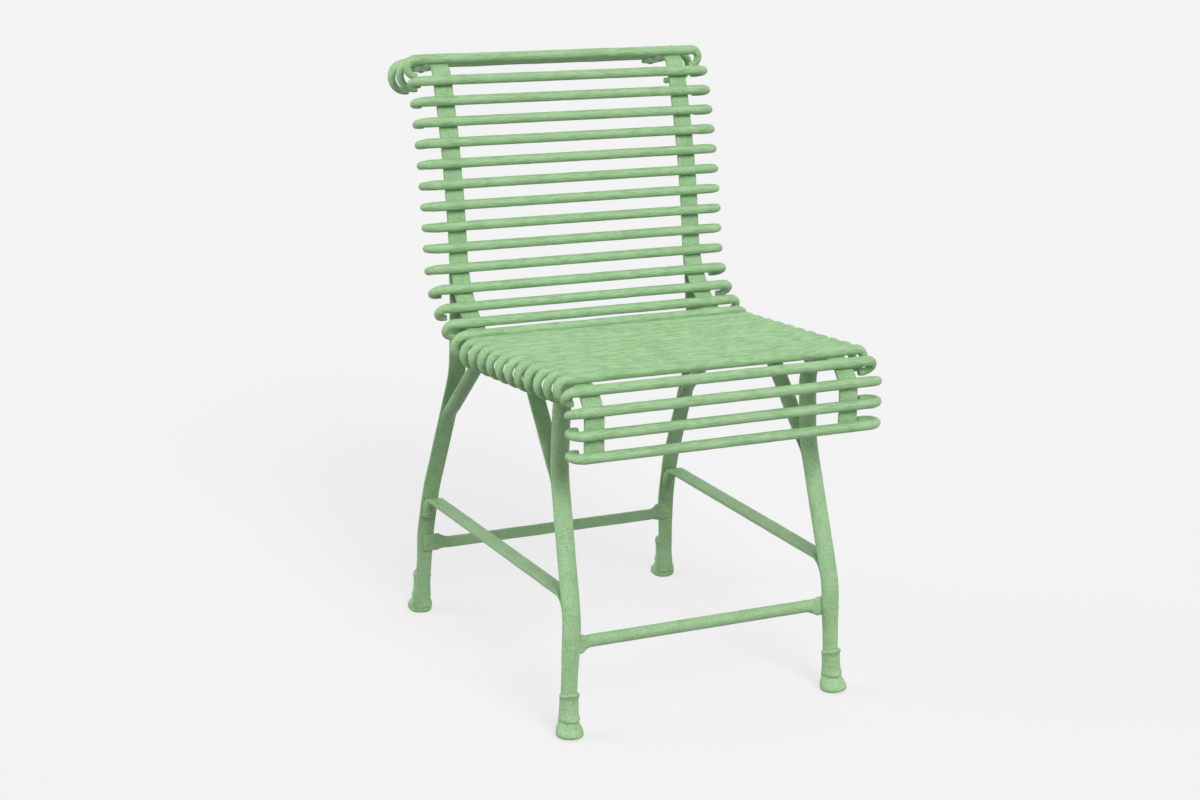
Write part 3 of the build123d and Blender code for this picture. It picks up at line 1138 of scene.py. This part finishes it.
@dataclass
class SideStrap:
    """Flat bar under the slats, bent into the side route."""

    route: SideRoute
    side: Side
    spread: float = 358.0
    width: float = 27.0
    tip_radius: float = 10.8
    tip_margin: float = 0.4
    edge_share: float = 0.97
    pace: float = 4.0
    tip_places: tuple[float, ...] = (0.0, 0.5, 1.2, 2.2, 3.6, 5.4, 7.6, 10.0)
    outline_points: int = 44
    bevel: float = 0.8
    hammering: Hammering = Hammering(0.30, 24.0, 0.10, 6.0, 5.1)

    def half_width(self, from_end: float) -> float:
        """Half of the width near a rounded tip.

        Args:
            from_end: Distance from the end.

        Returns:
            The half width.
        """
        half = self.width / 2
        if from_end >= self.tip_radius:
            return half
        rise = self.tip_radius - from_end
        round_off = math.sqrt(max(self.tip_radius ** 2 - rise * rise, 0.0))
        return half - self.tip_radius + round_off + self.tip_margin

    def build(self) -> bpy.types.Object:
        """Bend the strap.

        Returns:
            The strap.
        """
        total, thick = self.route.length(), self.route.strap_thick
        steps = round(total / self.pace)
        first = math.ceil(self.tip_places[-1] / self.pace)
        places = list(self.tip_places)
        places += [total * k / steps for k in range(first, steps - first + 1)]
        places += [total - end for end in self.tip_places[::-1]]
        rings = []
        for place in places:
            s = place - self.route.back_start()
            out = -self.route.toward_sitter(s)
            base = self.route.beside(s, -self.route.strap_face())
            half = self.half_width(min(place, total - place))
            section = HalfRound(2 * half, thick, thick * self.edge_share)
            ring = []
            for u, v in section.outline(self.outline_points):
                x = (self.spread / 2 + u) * self.side.value
                ring.append(Vector((x, base.y + out.y * v, base.z + out.z * v)))
            rings.append(ring)
        return Skin(rings).closed(self.bevel).mesh(f"side_strap_{self.side.word}", self.hammering)


@dataclass(frozen=True)
class LegPlan:
    """Sizes and lines of the legs and prongs on the right side.

    A leg's points are given as distance behind the front slats or the rear of the seat, and
    height.
    """

    route: SideRoute
    width: float = 26.0
    depth: float = 11.5
    edge: float = 2.0
    ankle_width: float = 22.6
    ankle_from: float = 72.0
    ankle_to: float = 125.0
    tip_from_share: float = 0.965
    tip_narrowing: float = 0.25
    tip_thinning: float = 0.22
    front: Stance = Stance(388.0, 2.29)
    rear: Stance = Stance(400.0, 2.18)
    lap_sink: float = 0.8
    head_clear: float = 4.7
    sole_plate: float = 5.0
    front_foot_back: float = 51.3
    front_shin_height: float = 150.0
    front_knee: Point2 = (109.3, 334.0)
    front_bends: tuple[float, ...] = (100.0, 140.0, 45.0)
    rear_foot_back: float = 224.3
    rear_points: tuple[Point2, ...] = (
        (216.3, 129.6), (199.4, 194.4), (112.4, 386.0), (118.8, 500.0)
    )
    rear_bends: tuple[float, ...] = (140.0, 250.0, 90.0, 120.0)
    prong_width: float = 23.5
    prong_depth: float = 10.5
    prong_taper_share: float = 0.24
    prong_edge_loss: float = 0.6
    prong_narrowing: float = 0.10
    prong_thinning: float = 0.84
    front_fork: Point2 = (283.0, 318.0)
    front_prong_back: float = 166.0
    front_prong_lap: float = 42.0
    front_prong_bends: Point2 = (70.0, 35.0)
    rear_fork: Point2 = (285.0, 320.0)
    rear_prong_back: float = 16.0
    rear_prong_bends: Point2 = (70.0, 32.0)
    front_leg_slat: int = 26
    front_prong_slat: int = 20
    rear_prong_slat: int = 17
    rear_leg_slat: int = 12
    side_bar_height: float = 184.0
    side_bar_tab: float = 36.0
    front_cross_height: float = 118.0
    rear_cross_height: float = 108.0

    def front_y(self) -> float:
        """Depth of the front slats' line."""
        return self.route.nodes()[Run.FRONT][0]

    def seat_rear_y(self) -> float:
        """Depth of the rear end of the flat seat."""
        return self.route.nodes()[Run.SEAT][0]

    def front_leg(self) -> RoundedLine:
        """Line of the front leg's flat."""
        foot = self.front_y() + self.front_foot_back
        knee = self.front_y() + self.front_knee[0]
        end = self.route.slat_under(self.front_leg_slat + 1, self.head_clear)
        points = (
            (foot, self.sole_plate),
            (foot, self.front_shin_height),
            (knee, self.front_knee[1]),
            self.route.under_strap(knee, self.lap_sink),
            self.route.under_strap(end, self.lap_sink),
        )
        return RoundedLine(points, self.front_bends)

    def rear_leg(self) -> RoundedLine:
        """Line of the rear leg's flat."""
        rear = self.seat_rear_y()
        s = self.route.slat_places()[self.rear_leg_slat - 1] + self.route.pitch() / 2
        end = self.route.beside(s, self.lap_sink - self.route.strap_back())
        points = ((self.rear_foot_back, self.sole_plate),) + self.rear_points
        spots = tuple((rear + back, height) for back, height in points)
        return RoundedLine(spots + ((end.y, end.z),), self.rear_bends)

    def front_prong(self) -> RoundedLine:
        """Line of the front prong's flat."""
        leg = self.front_leg()
        y = self.front_y() + self.front_foot_back + self.front_prong_back
        points = tuple(leg.off(height, -self.lap_sink) for height in self.front_fork) + (
            self.route.under_strap(y, self.lap_sink),
            self.route.under_strap(y + self.front_prong_lap, self.lap_sink),
        )
        return RoundedLine(points, self.front_prong_bends)

    def rear_prong(self) -> RoundedLine:
        """Line of the rear prong's flat."""
        leg = self.rear_leg()
        y = self.seat_rear_y() + self.rear_prong_back
        end = self.route.slat_under(self.rear_prong_slat + 1, self.head_clear)
        points = tuple(leg.off(height, self.lap_sink) for height in self.rear_fork) + (
            self.route.under_strap(y, self.lap_sink),
            self.route.under_strap(end, self.lap_sink),
        )
        return RoundedLine(points, self.rear_prong_bends)

    def leg(self, end: End) -> RoundedLine:
        """Line of a leg."""
        return self.front_leg() if end is End.FRONT else self.rear_leg()

    def prong(self, end: End) -> RoundedLine:
        """Line of a prong."""
        return self.front_prong() if end is End.FRONT else self.rear_prong()

    def stance(self, end: End) -> Stance:
        """Stance of a pair of legs."""
        return self.front if end is End.FRONT else self.rear

    def cross_height(self, end: End) -> float:
        """Height of a cross stretcher."""
        return self.front_cross_height if end is End.FRONT else self.rear_cross_height

    def facing(self, end: End) -> int:
        """Side of a leg's line on which its round lies."""
        return -1 if end is End.FRONT else 1

    def leg_section(self, point: Vector, share: float) -> HalfRound:
        """Section of a leg, drawn narrower at the ankle.

        Args:
            point: Point of its line.
            share: Share of the way from foot to top.

        Returns:
            The section.
        """
        rise = ease((point.z - self.ankle_from) / (self.ankle_to - self.ankle_from))
        width = self.ankle_width + (self.width - self.ankle_width) * rise
        tip = max(0.0, (share - self.tip_from_share) / (1 - self.tip_from_share))
        width *= 1 - self.tip_narrowing * tip * tip
        return HalfRound(width, self.depth * (1 - self.tip_thinning * tip), self.edge)

    def prong_section(self, point: Vector, share: float) -> HalfRound:
        """Section of a prong, tapered where it is riveted to the leg.

        Args:
            point: Point of its line, not used.
            share: Share of the way from the leg to the strap.

        Returns:
            The section.
        """
        low = max(0.0, 1 - share / self.prong_taper_share)
        width = self.prong_width * (1 - self.prong_narrowing * low * low)
        depth = self.prong_depth * (1 - self.prong_thinning * low)
        return HalfRound(width, depth, self.edge * (1 - self.prong_edge_loss * low))


@dataclass
class LegPiece:
    """Piece of one leg."""

    plan: LegPlan
    end: End
    side: Side

    def place(self, point: Vector) -> Vector:
        """Move a point of the upright leg to its leaning place."""
        return self.side.mirror(self.plan.stance(self.end).place(point))

    def named(self, kind: str) -> str:
        """Name of the piece."""
        return f"{kind}_{self.end.value}_{self.side.word}"


@dataclass
class Leg(LegPiece):
    """Half-round leg, flat toward the chair's middle."""

    hammering: Hammering = Hammering()

    def build(self) -> bpy.types.Object:
        """Draw the leg.

        Returns:
            The leg.
        """
        line, facing = self.plan.leg(self.end), self.plan.facing(self.end)
        skin = bar_skin(line, self.plan.leg_section, facing, self.place)
        return skin.mesh(self.named("forged_leg"), self.hammering)


@dataclass
class Prong(LegPiece):
    """Second branch at the top of a leg."""

    hammering: Hammering = Hammering(seed=9.2)

    def build(self) -> bpy.types.Object:
        """Draw the prong.

        Returns:
            The prong.
        """
        line, facing = self.plan.prong(self.end), -self.plan.facing(self.end)
        skin = bar_skin(line, self.plan.prong_section, facing, self.place)
        return skin.mesh(self.named("forged_prong"), self.hammering)


@dataclass
class HoofFoot(LegPiece):
    """Cast hoof foot around the outer side of a leg."""

    recess: float = 0.9
    rim_drop: float = 4.5
    rim_from: float = 36.0
    bevel: float = 0.6
    sharp_angle: float = 50.0
    hammering: Hammering = Hammering(0.35, 12.0, 0.12, 4.0, 2.2)
    rows: tuple[tuple[float, float, float, float], ...] = (
        # height, width, front and back in millimetres
        (0.0, 25.0, 15.0, -5.0),
        (0.5, 28.4, 19.2, -7.0),
        (1.5, 31.4, 23.2, -8.6),
        (3.0, 33.8, 26.6, -9.4),
        (4.6, 35.2, 29.0, -9.6),
        (5.0, 35.4, 29.3, -10.0),
        (7.5, 35.6, 29.2, -10.8),
        (10.5, 34.6, 27.4, -12.0),
        (13.5, 32.6, 25.2, -13.2),
        (16.5, 30.2, 22.8, -14.6),
        (18.8, 28.2, 21.0, -15.8),
        (20.0, 27.2, 20.0, -16.4),
        (20.9, 26.9, 19.7, -16.8),
        (22.0, 27.7, 21.0, -17.0),
        (24.0, 28.3, 22.3, -17.2),
        (26.4, 28.1, 21.9, -17.4),
        (29.0, 27.0, 19.8, -17.6),
        (33.0, 26.4, 18.6, -17.8),
        (38.0, 26.2, 18.2, -18.0),
        (44.0, 26.0, 17.8, -18.0),
        (50.0, 25.9, 17.4, -18.0),
        (54.6, 26.0, 17.5, -18.0),
        (55.8, 26.8, 18.2, -18.0),
        (57.0, 27.5, 19.0, -18.0),
        (58.8, 27.6, 19.2, -18.0),
        (60.2, 27.1, 18.6, -18.0),
        (61.0, 26.0, 17.4, -18.0),
    )

    def build(self) -> bpy.types.Object:
        """Model the foot.

        Returns:
            The foot.
        """
        y, _ = self.plan.leg(self.end).along(self.plan.sole_plate)
        facing = self.plan.facing(self.end)
        rings = []
        for z, width, front, back in self.rows:
            cut = None if z < self.plan.sole_plate else self.recess
            rise = max(0.0, (z - self.rim_from) / (self.rows[-1][0] - self.rim_from))
            ring = []
            for u, v in HoofSlice(width, front, back, cut).outline():
                drop = self.rim_drop * rise * min(1.0, (2 * u / width) ** 2)
                p = self.place(Vector((u, y + v * facing, z - drop)))
                ring.append(Vector((p.x, p.y, max(p.z, 0.0))))
            rings.append(ring)
        skin = Skin(rings).closed(self.bevel)
        return skin.mesh(self.named("hoof_foot"), self.hammering, self.sharp_angle)


@dataclass
class SideStretcher:
    """Half-round bar between the legs of one side, both ends bent down."""

    plan: LegPlan
    side: Side
    width: float = 22.0
    depth: float = 11.0
    edge: float = 2.0
    bend: float = 30.0
    tip_share: float = 0.04
    tip_narrowing: float = 0.2
    tip_thinning: float = 0.35
    hammering: Hammering = Hammering(seed=6.6)

    def section(self, point: Vector, share: float) -> HalfRound:
        """Section, thinner toward both tips.

        Args:
            point: Point of its line, not used.
            share: Share of the way.

        Returns:
            The section.
        """
        tip = max(0.0, 1 - min(share, 1 - share) / self.tip_share)
        width = self.width * (1 - self.tip_narrowing * tip * tip)
        return HalfRound(width, self.depth * (1 - self.tip_thinning * tip), self.edge)

    def build(self) -> bpy.types.Object:
        """Bend the stretcher.

        Returns:
            The stretcher.
        """
        plan, height, tab = self.plan, self.plan.side_bar_height, self.plan.side_bar_tab
        front_y, front_lean = plan.front_leg().along(height)
        rear_y, rear_lean = plan.rear_leg().along(height)
        start_x, end_x = plan.front.reach(height), plan.rear.reach(height)
        run = rear_y - front_y
        fa, ra = math.radians(front_lean), math.radians(rear_lean)
        points = (
            (-tab * math.sin(fa), -tab * math.cos(fa)),
            (0.0, 0.0),
            (run, 0.0),
            (run - tab * math.sin(ra), -tab * math.cos(ra)),
        )
        line = RoundedLine(points, (self.bend, self.bend))
        turn = Matrix.Rotation(-math.atan2(end_x - start_x, run), 3, "Z")
        splay = (plan.front.splay + plan.rear.splay) / 2
        tilt = Matrix.Rotation(-math.radians(splay), 3, "Y")
        base = Vector((start_x, front_y, height))

        def placed(point: Vector) -> Vector:
            """Place a point of the stretcher."""
            return self.side.mirror(base + turn @ (tilt @ point))

        skin = bar_skin(line, self.section, 1, placed)
        return skin.mesh(f"side_stretcher_bar_{self.side.word}", self.hammering)


@dataclass
class CrossStretcher:
    """Half-round bar between a pair of legs, with forged palms."""

    plan: LegPlan
    end: End
    width: float = 17.5
    depth: float = 9.0
    edge: float = 1.5
    proud: float = 1.5
    palm_height: float = 26.0
    palm_thick: float = 5.0
    palm_crown: float = 0.4
    palm_round: float = 0.6
    palm_inboard: float = 18.0
    palm_outboard: float = 5.0
    palm_taper: float = 15.0
    flare_curve: float = 2.4
    tip_run: float = 2.0
    tip_narrowing: float = 3.0
    tip_steps: Point2 = (1.6, 0.7)
    bar_steps: int = 36
    palm_steps: int = 8
    bevel: float = 0.8
    hammering: Hammering = Hammering(seed=4.4)

    def stations(self, tip: float) -> list[float]:
        """Places of the slices from the middle to a tip.

        Args:
            tip: Place of the tip.

        Returns:
            The places.
        """
        palm = tip - self.palm_outboard - self.palm_inboard
        neck = palm - self.palm_taper
        places = [neck * k / self.bar_steps for k in range(self.bar_steps)]
        steps = range(self.palm_steps)
        places += [neck + self.palm_taper * k / self.palm_steps for k in steps]
        places += [palm + (tip - palm) * k / self.palm_steps for k in steps[:-1]]
        return places + [tip - step for step in self.tip_steps] + [tip]

    def build(self) -> bpy.types.Object:
        """Forge the stretcher.

        Returns:
            The stretcher.
        """
        height = self.plan.cross_height(self.end)
        flat, lean = self.plan.leg(self.end).along(height)
        tip = self.plan.stance(self.end).reach(height) + self.palm_outboard
        palm = tip - self.palm_outboard - self.palm_inboard
        away = -1.0 if self.end is End.FRONT else 1.0
        half = self.stations(tip)
        tilt = Matrix.Rotation(-math.radians(lean), 3, "X")
        base = Vector((0.0, flat, height))
        bar_back, palm_back = self.proud + self.depth, self.palm_thick - self.palm_crown
        palm_edge = palm_back - self.palm_round
        rings = []
        for x in [-p for p in half[:0:-1]] + half:
            run = min(1.0, max(0.0, 1 - (palm - abs(x)) / self.palm_taper))
            share = ease(run)
            tip_share = max(0.0, 1 - (tip - abs(x)) / self.tip_run)
            width = self.width + (self.palm_height - self.width) * run ** self.flare_curve
            width -= self.tip_narrowing * tip_share ** 2
            depth = self.depth + (self.palm_thick - self.depth) * share
            edge = self.edge + (palm_edge - self.edge) * share
            back = bar_back + (palm_back - bar_back) * share
            outline = HalfRound(width, depth, edge).outline()
            rings.append([base + tilt @ Vector((x, (v - back) * away, u)) for u, v in outline])
        skin = Skin(rings).closed(self.bevel)
        return skin.mesh(f"cross_stretcher_bar_{self.end.value}", self.hammering)


@dataclass(frozen=True)
class HeadForm:
    """Sizes of a rivet head: radius, rise and how deep it sits."""

    radius: float
    rise: float
    sunk: float


@dataclass(frozen=True)
class Head:
    """Rivet head: where it sits, which way it faces and its form."""

    place: Vector
    facing: Vector
    form: HeadForm


@dataclass
class RivetSet:
    """Rivet heads of one side, of one kind."""

    name: str
    side: Side
    heads: list[Head]
    size_spread: float = 0.07
    unevenness: float = 0.45
    dent_size: float = 3.0
    segments: int = 18
    rings: int = 10
    seed: int = 5

    def points(self) -> bpy.types.Object:
        """Mesh of points that carry the heads' facing and size.

        Returns:
            The point object.
        """
        mesh = bpy.data.meshes.new("rivet_points")
        places = [h.place - h.facing * h.form.sunk for h in self.heads]
        sign = self.side.value
        mesh.from_pydata([(p.x * sign * MM, p.y * MM, p.z * MM) for p in places], [], [])
        facing = mesh.attributes.new("facing", "FLOAT_VECTOR", "POINT")
        size = mesh.attributes.new("size", "FLOAT_VECTOR", "POINT")
        for k, head in enumerate(self.heads):
            radius, height = head.form.radius * MM, (head.form.rise + head.form.sunk) * MM
            facing.data[k].vector = (head.facing.x * sign, head.facing.y, head.facing.z)
            size.data[k].vector = (radius, radius, height)
        return in_scene("rivet_points", mesh)

    def build(self, paint: bpy.types.Material) -> bpy.types.Object:
        """Set a hammered head on each point.

        Args:
            paint: Paint of the rivets.

        Returns:
            The rivets.
        """
        numbers = {
            "Size Spread": self.size_spread,
            "Unevenness": self.unevenness * MM,
            "Dent Size": self.dent_size * MM,
            "Seed": float(self.seed),
        }
        tree = GeometryTree(self.name + "_heads", numbers, paint)
        facing, size = (
            tree.add("GeometryNodeInputNamedAttribute", {"Name": name}, data_type="FLOAT_VECTOR")
            for name in ("facing", "size")
        )
        turn = tree.add(
            "FunctionNodeAlignRotationToVector", {"Vector": facing.outputs[0]}, axis="Z"
        )
        low = tree.calculate("SUBTRACT", 1.0, tree.given["Size Spread"])
        high = tree.calculate("ADD", 1.0, tree.given["Size Spread"])
        vary = tree.add("FunctionNodeRandomValue", {2: low, 3: high, "Seed": self.seed})
        sizes = {0: size.outputs[0], "Scale": vary.outputs[1]}
        scale = tree.add("ShaderNodeVectorMath", sizes, operation="SCALE")
        ball = tree.add("GeometryNodeMeshUVSphere", {
            "Segments": self.segments,
            "Rings": self.rings,
            "Radius": 1.0,
        })
        heads = tree.add("GeometryNodeInstanceOnPoints", {
            "Points": tree.given["Geometry"],
            "Instance": ball.outputs["Mesh"],
            "Rotation": turn.outputs[0],
            "Scale": scale.outputs[0],
        })
        real = tree.add("GeometryNodeRealizeInstances", {"Geometry": heads.outputs[0]})
        tree.finish(tree.uneven(real.outputs[0]))
        return tree.run(self.points(), f"{self.name}_heads_{self.side.word}")


@dataclass(frozen=True)
class Joint:
    """Rivet through two bars: its line, stance, height, form and the distances of its heads."""

    line: RoundedLine
    stance: Stance
    height: float
    near: float
    far: float
    form: HeadForm
    leaning: bool = True

    def heads(self) -> list[Head]:
        """Both heads of the rivet.

        Returns:
            The two heads on the right side.
        """
        y, lean = self.line.along(self.height)
        a = math.radians(lean)
        b = math.radians(self.stance.splay if self.leaning else 0.0)
        place = self.stance.place(Vector((0.0, y, self.height)))
        across = math.sin(a)
        direction = Vector((across * math.sin(b), math.cos(a), -across * math.cos(b)))
        return [
            Head(place + direction * self.near, -direction, self.form),
            Head(place + direction * self.far, direction, self.form),
        ]


@dataclass
class RivetPlan:
    """All rivets of the chair."""

    route: SideRoute
    plan: LegPlan
    spread: float = 358.0
    slat_top: HeadForm = HeadForm(3.3, 0.7, 1.5)
    strap_back: HeadForm = HeadForm(4.6, 2.0, 0.5)
    flush: HeadForm = HeadForm(3.6, 0.35, 0.5)
    low: HeadForm = HeadForm(3.7, 0.8, 0.5)
    sunk: HeadForm = HeadForm(4.0, 0.5, 1.6)
    front_fork_height: float = 300.5
    rear_fork_height: float = 302.5
    prong_at_rivet: float = 3.4
    tab_at_rivet: float = 9.2
    tab_rivet_share: float = 0.67
    palm_at_rivet: float = 4.6
    leg_seat: float = 0.2

    def slat_heads(self) -> list[Head]:
        """Heads on the slats and behind the straps, on the right side."""
        lapped = {
            self.plan.front_leg_slat: self.plan.depth,
            self.plan.front_prong_slat: self.plan.prong_depth,
            self.plan.rear_leg_slat: self.plan.depth,
            self.plan.rear_prong_slat: self.plan.prong_depth,
        }
        across = Vector((self.spread / 2, 0.0, 0.0))
        found = []
        for index, s in enumerate(self.route.slat_places()):
            out = self.route.toward_sitter(s)
            back = self.route.strap_back()
            if index in lapped:
                back += lapped[index] - self.plan.lap_sink
            top = self.route.beside(s, self.route.slat_radius) + across
            found.append(Head(top, out, self.slat_top))
            found.append(Head(self.route.beside(s, -back) + across, -out, self.strap_back))
        return found

    def frame_heads(self) -> list[Head]:
        """Heads of the prongs' rivets, on the right side."""
        plan, form = self.plan, self.sunk
        leg, prong = plan.depth, self.prong_at_rivet
        places = (
            (End.FRONT, self.front_fork_height, -leg, prong),
            (End.REAR, self.rear_fork_height, -prong, leg),
        )
        found = []
        for end, height, near, far in places:
            found += Joint(plan.leg(end), plan.stance(end), height, near, far, form).heads()
        return found

    def stretcher_heads(self) -> list[Head]:
        """Heads of the stretchers' rivets, on the right side."""
        plan, tab, palm = self.plan, self.tab_at_rivet, self.palm_at_rivet
        leg, seated = plan.depth, plan.depth - self.leg_seat
        side = plan.side_bar_height - plan.side_bar_tab * self.tab_rivet_share
        places = (
            (End.FRONT, side, -leg, tab, self.flush, True),
            (End.REAR, side, -tab, leg, self.flush, True),
            (End.FRONT, plan.front_cross_height, -seated, palm, self.low, False),
            (End.REAR, plan.rear_cross_height, -palm, seated, self.low, False),
        )
        found = []
        for end, *sizes in places:
            found += Joint(plan.leg(end), plan.stance(end), *sizes).heads()
        return found


# Room


@dataclass(frozen=True)
class Lamp:
    """Soft daylight: where it comes from, its strength and its softness in degrees."""

    name: str
    toward: Vector
    level: float
    angle: float

    def build(self) -> None:
        """Hang the lamp."""
        data = bpy.data.lights.new(self.name, "SUN")
        data.energy = self.level
        data.angle = math.radians(self.angle)
        made = in_scene(self.name, data)
        made.location = self.toward * LAMP_DISTANCE
        made.rotation_euler = self.toward.to_track_quat("Z", "Y").to_euler()


@dataclass
class Studio:
    """Pale floor, soft lamps and the camera."""

    floor_size: float = 60.0
    floor_albedo: float = 0.25
    pale_level: float = 0.9
    room_level: float = 0.38
    lamps: tuple[Lamp, ...] = (
        Lamp("key_lamp", Vector((-0.05, -0.82, 0.57)).normalized(), 2.1, 28.0),
        Lamp("left_lamp", Vector((-0.85, 0.35, 0.35)).normalized(), 1.2, 40.0),
        Lamp("right_lamp", Vector((0.93, 0.10, 0.30)).normalized(), 0.36, 40.0),
    )
    camera_place: tuple[float, float, float] = (-1.2718, -2.5942, 1.1121)
    camera_turn: float = -25.478
    camera_rise: float = 14.586
    camera_roll: float = 0.607
    lens: float = 65.75
    sensor: float = 36.0

    def floor(self) -> None:
        """Lay the floor, which shows at the pale level and keeps the chair's shadow."""
        half = self.floor_size / 2
        mesh = bpy.data.meshes.new("floor")
        corners = [(-half, -half, 0), (half, -half, 0), (half, half, 0), (-half, half, 0)]
        mesh.from_pydata(corners, [], [(0, 1, 2, 3)])
        made = in_scene("floor", mesh)
        material = bpy.data.materials.new("pale_floor")
        material.use_nodes = True
        tree = NodeTree(material.node_tree)
        daylight = sum(lamp.level * lamp.toward.z for lamp in self.lamps) / math.pi
        glow_level = self.pale_level - self.floor_albedo * (self.room_level + daylight)
        diffuse = tree.add("ShaderNodeBsdfDiffuse", {"Color": grey(self.floor_albedo)})
        glow = tree.add("ShaderNodeEmission", {
            "Color": grey(glow_level),
            "Strength": tree.shown_rays("Is Camera Ray", "Is Glossy Ray"),
        })
        both = tree.add("ShaderNodeAddShader", {0: diffuse.outputs[0], 1: glow.outputs[0]})
        tree.add("ShaderNodeOutputMaterial", {"Surface": both.outputs[0]})
        made.data.materials.append(material)

    def world(self) -> None:
        """Light the room evenly and show it at the pale level."""
        world = bpy.data.worlds.new("pale_room")
        bpy.context.scene.world = world
        world.use_nodes = True
        tree = NodeTree(world.node_tree)
        room, shown = (
            tree.add("ShaderNodeBackground", {"Color": grey(1.0), "Strength": level})
            for level in (self.room_level, self.pale_level)
        )
        seen = tree.shown_rays("Is Camera Ray", "Is Glossy Ray", "Is Transmission Ray")
        inputs = {"Fac": seen, 1: room.outputs[0], 2: shown.outputs[0]}
        mix = tree.add("ShaderNodeMixShader", inputs)
        tree.add("ShaderNodeOutputWorld", {"Surface": mix.outputs[0]})

    def camera(self) -> None:
        """Set the camera where the photograph was taken."""
        turn, rise = math.radians(self.camera_turn), math.radians(self.camera_rise)
        roll = math.radians(self.camera_roll)
        level = math.cos(rise)
        back = Vector((math.sin(turn) * level, -math.cos(turn) * level, math.sin(rise)))
        right = (-back).cross(Vector((0.0, 0.0, 1.0))).normalized()
        up = right.cross(-back)
        rolled_right = right * math.cos(roll) + up * math.sin(roll)
        rolled_up = up * math.cos(roll) - right * math.sin(roll)
        data = bpy.data.cameras.new("camera")
        data.lens = self.lens
        data.sensor_width = self.sensor
        made = in_scene("camera", data)
        turned = Matrix((rolled_right, rolled_up, back)).transposed().to_4x4()
        made.matrix_world = Matrix.Translation(Vector(self.camera_place)) @ turned
        bpy.context.scene.camera = made

    def build(self) -> None:
        """Set up the whole room."""
        self.floor()
        self.world()
        for lamp in self.lamps:
            lamp.build()
        self.camera()
        bpy.context.scene.view_settings.view_transform = "Standard"


def main() -> None:
    """Build the chair's pieces in order, then the room."""
    shop = PaintShop()
    route = SideRoute()
    plan = LegPlan(route)
    rivets = RivetPlan(route, plan)
    bars = shop.coat(Tone.BARS)

    row = SlatRow(route)
    row.dress(row.build(shop.coat(Tone.SLATS)))
    for side in Side:
        dress(SideStrap(route, side).build(), bars, [f"strap_{side.word}"])
        for end in End:
            where = f"{end.value}_{side.word}"
            dress(Leg(plan, end, side).build(), bars, [f"leg_{where}"])
            dress(Prong(plan, end, side).build(), bars, [f"prong_{where}"])
            dress(HoofFoot(plan, end, side).build(), bars, [f"foot_{where}"])
        dress(SideStretcher(plan, side).build(), bars, [f"side_stretcher_{side.word}"])
        kinds = (
            ("slat_rivets", rivets.slat_heads()),
            ("frame_rivets", rivets.frame_heads()),
            ("stretcher_rivets", rivets.stretcher_heads()),
        )
        for kind, heads in kinds:
            made = RivetSet(kind, side, heads).build(shop.coat(Tone.RIVETS))
            dress(made, None, [f"{kind}_{side.word}"])
    for end in End:
        dress(CrossStretcher(plan, end).build(), bars, [f"cross_stretcher_{end.value}"])
    Studio().build()


if __name__ == "__main__":
    main()
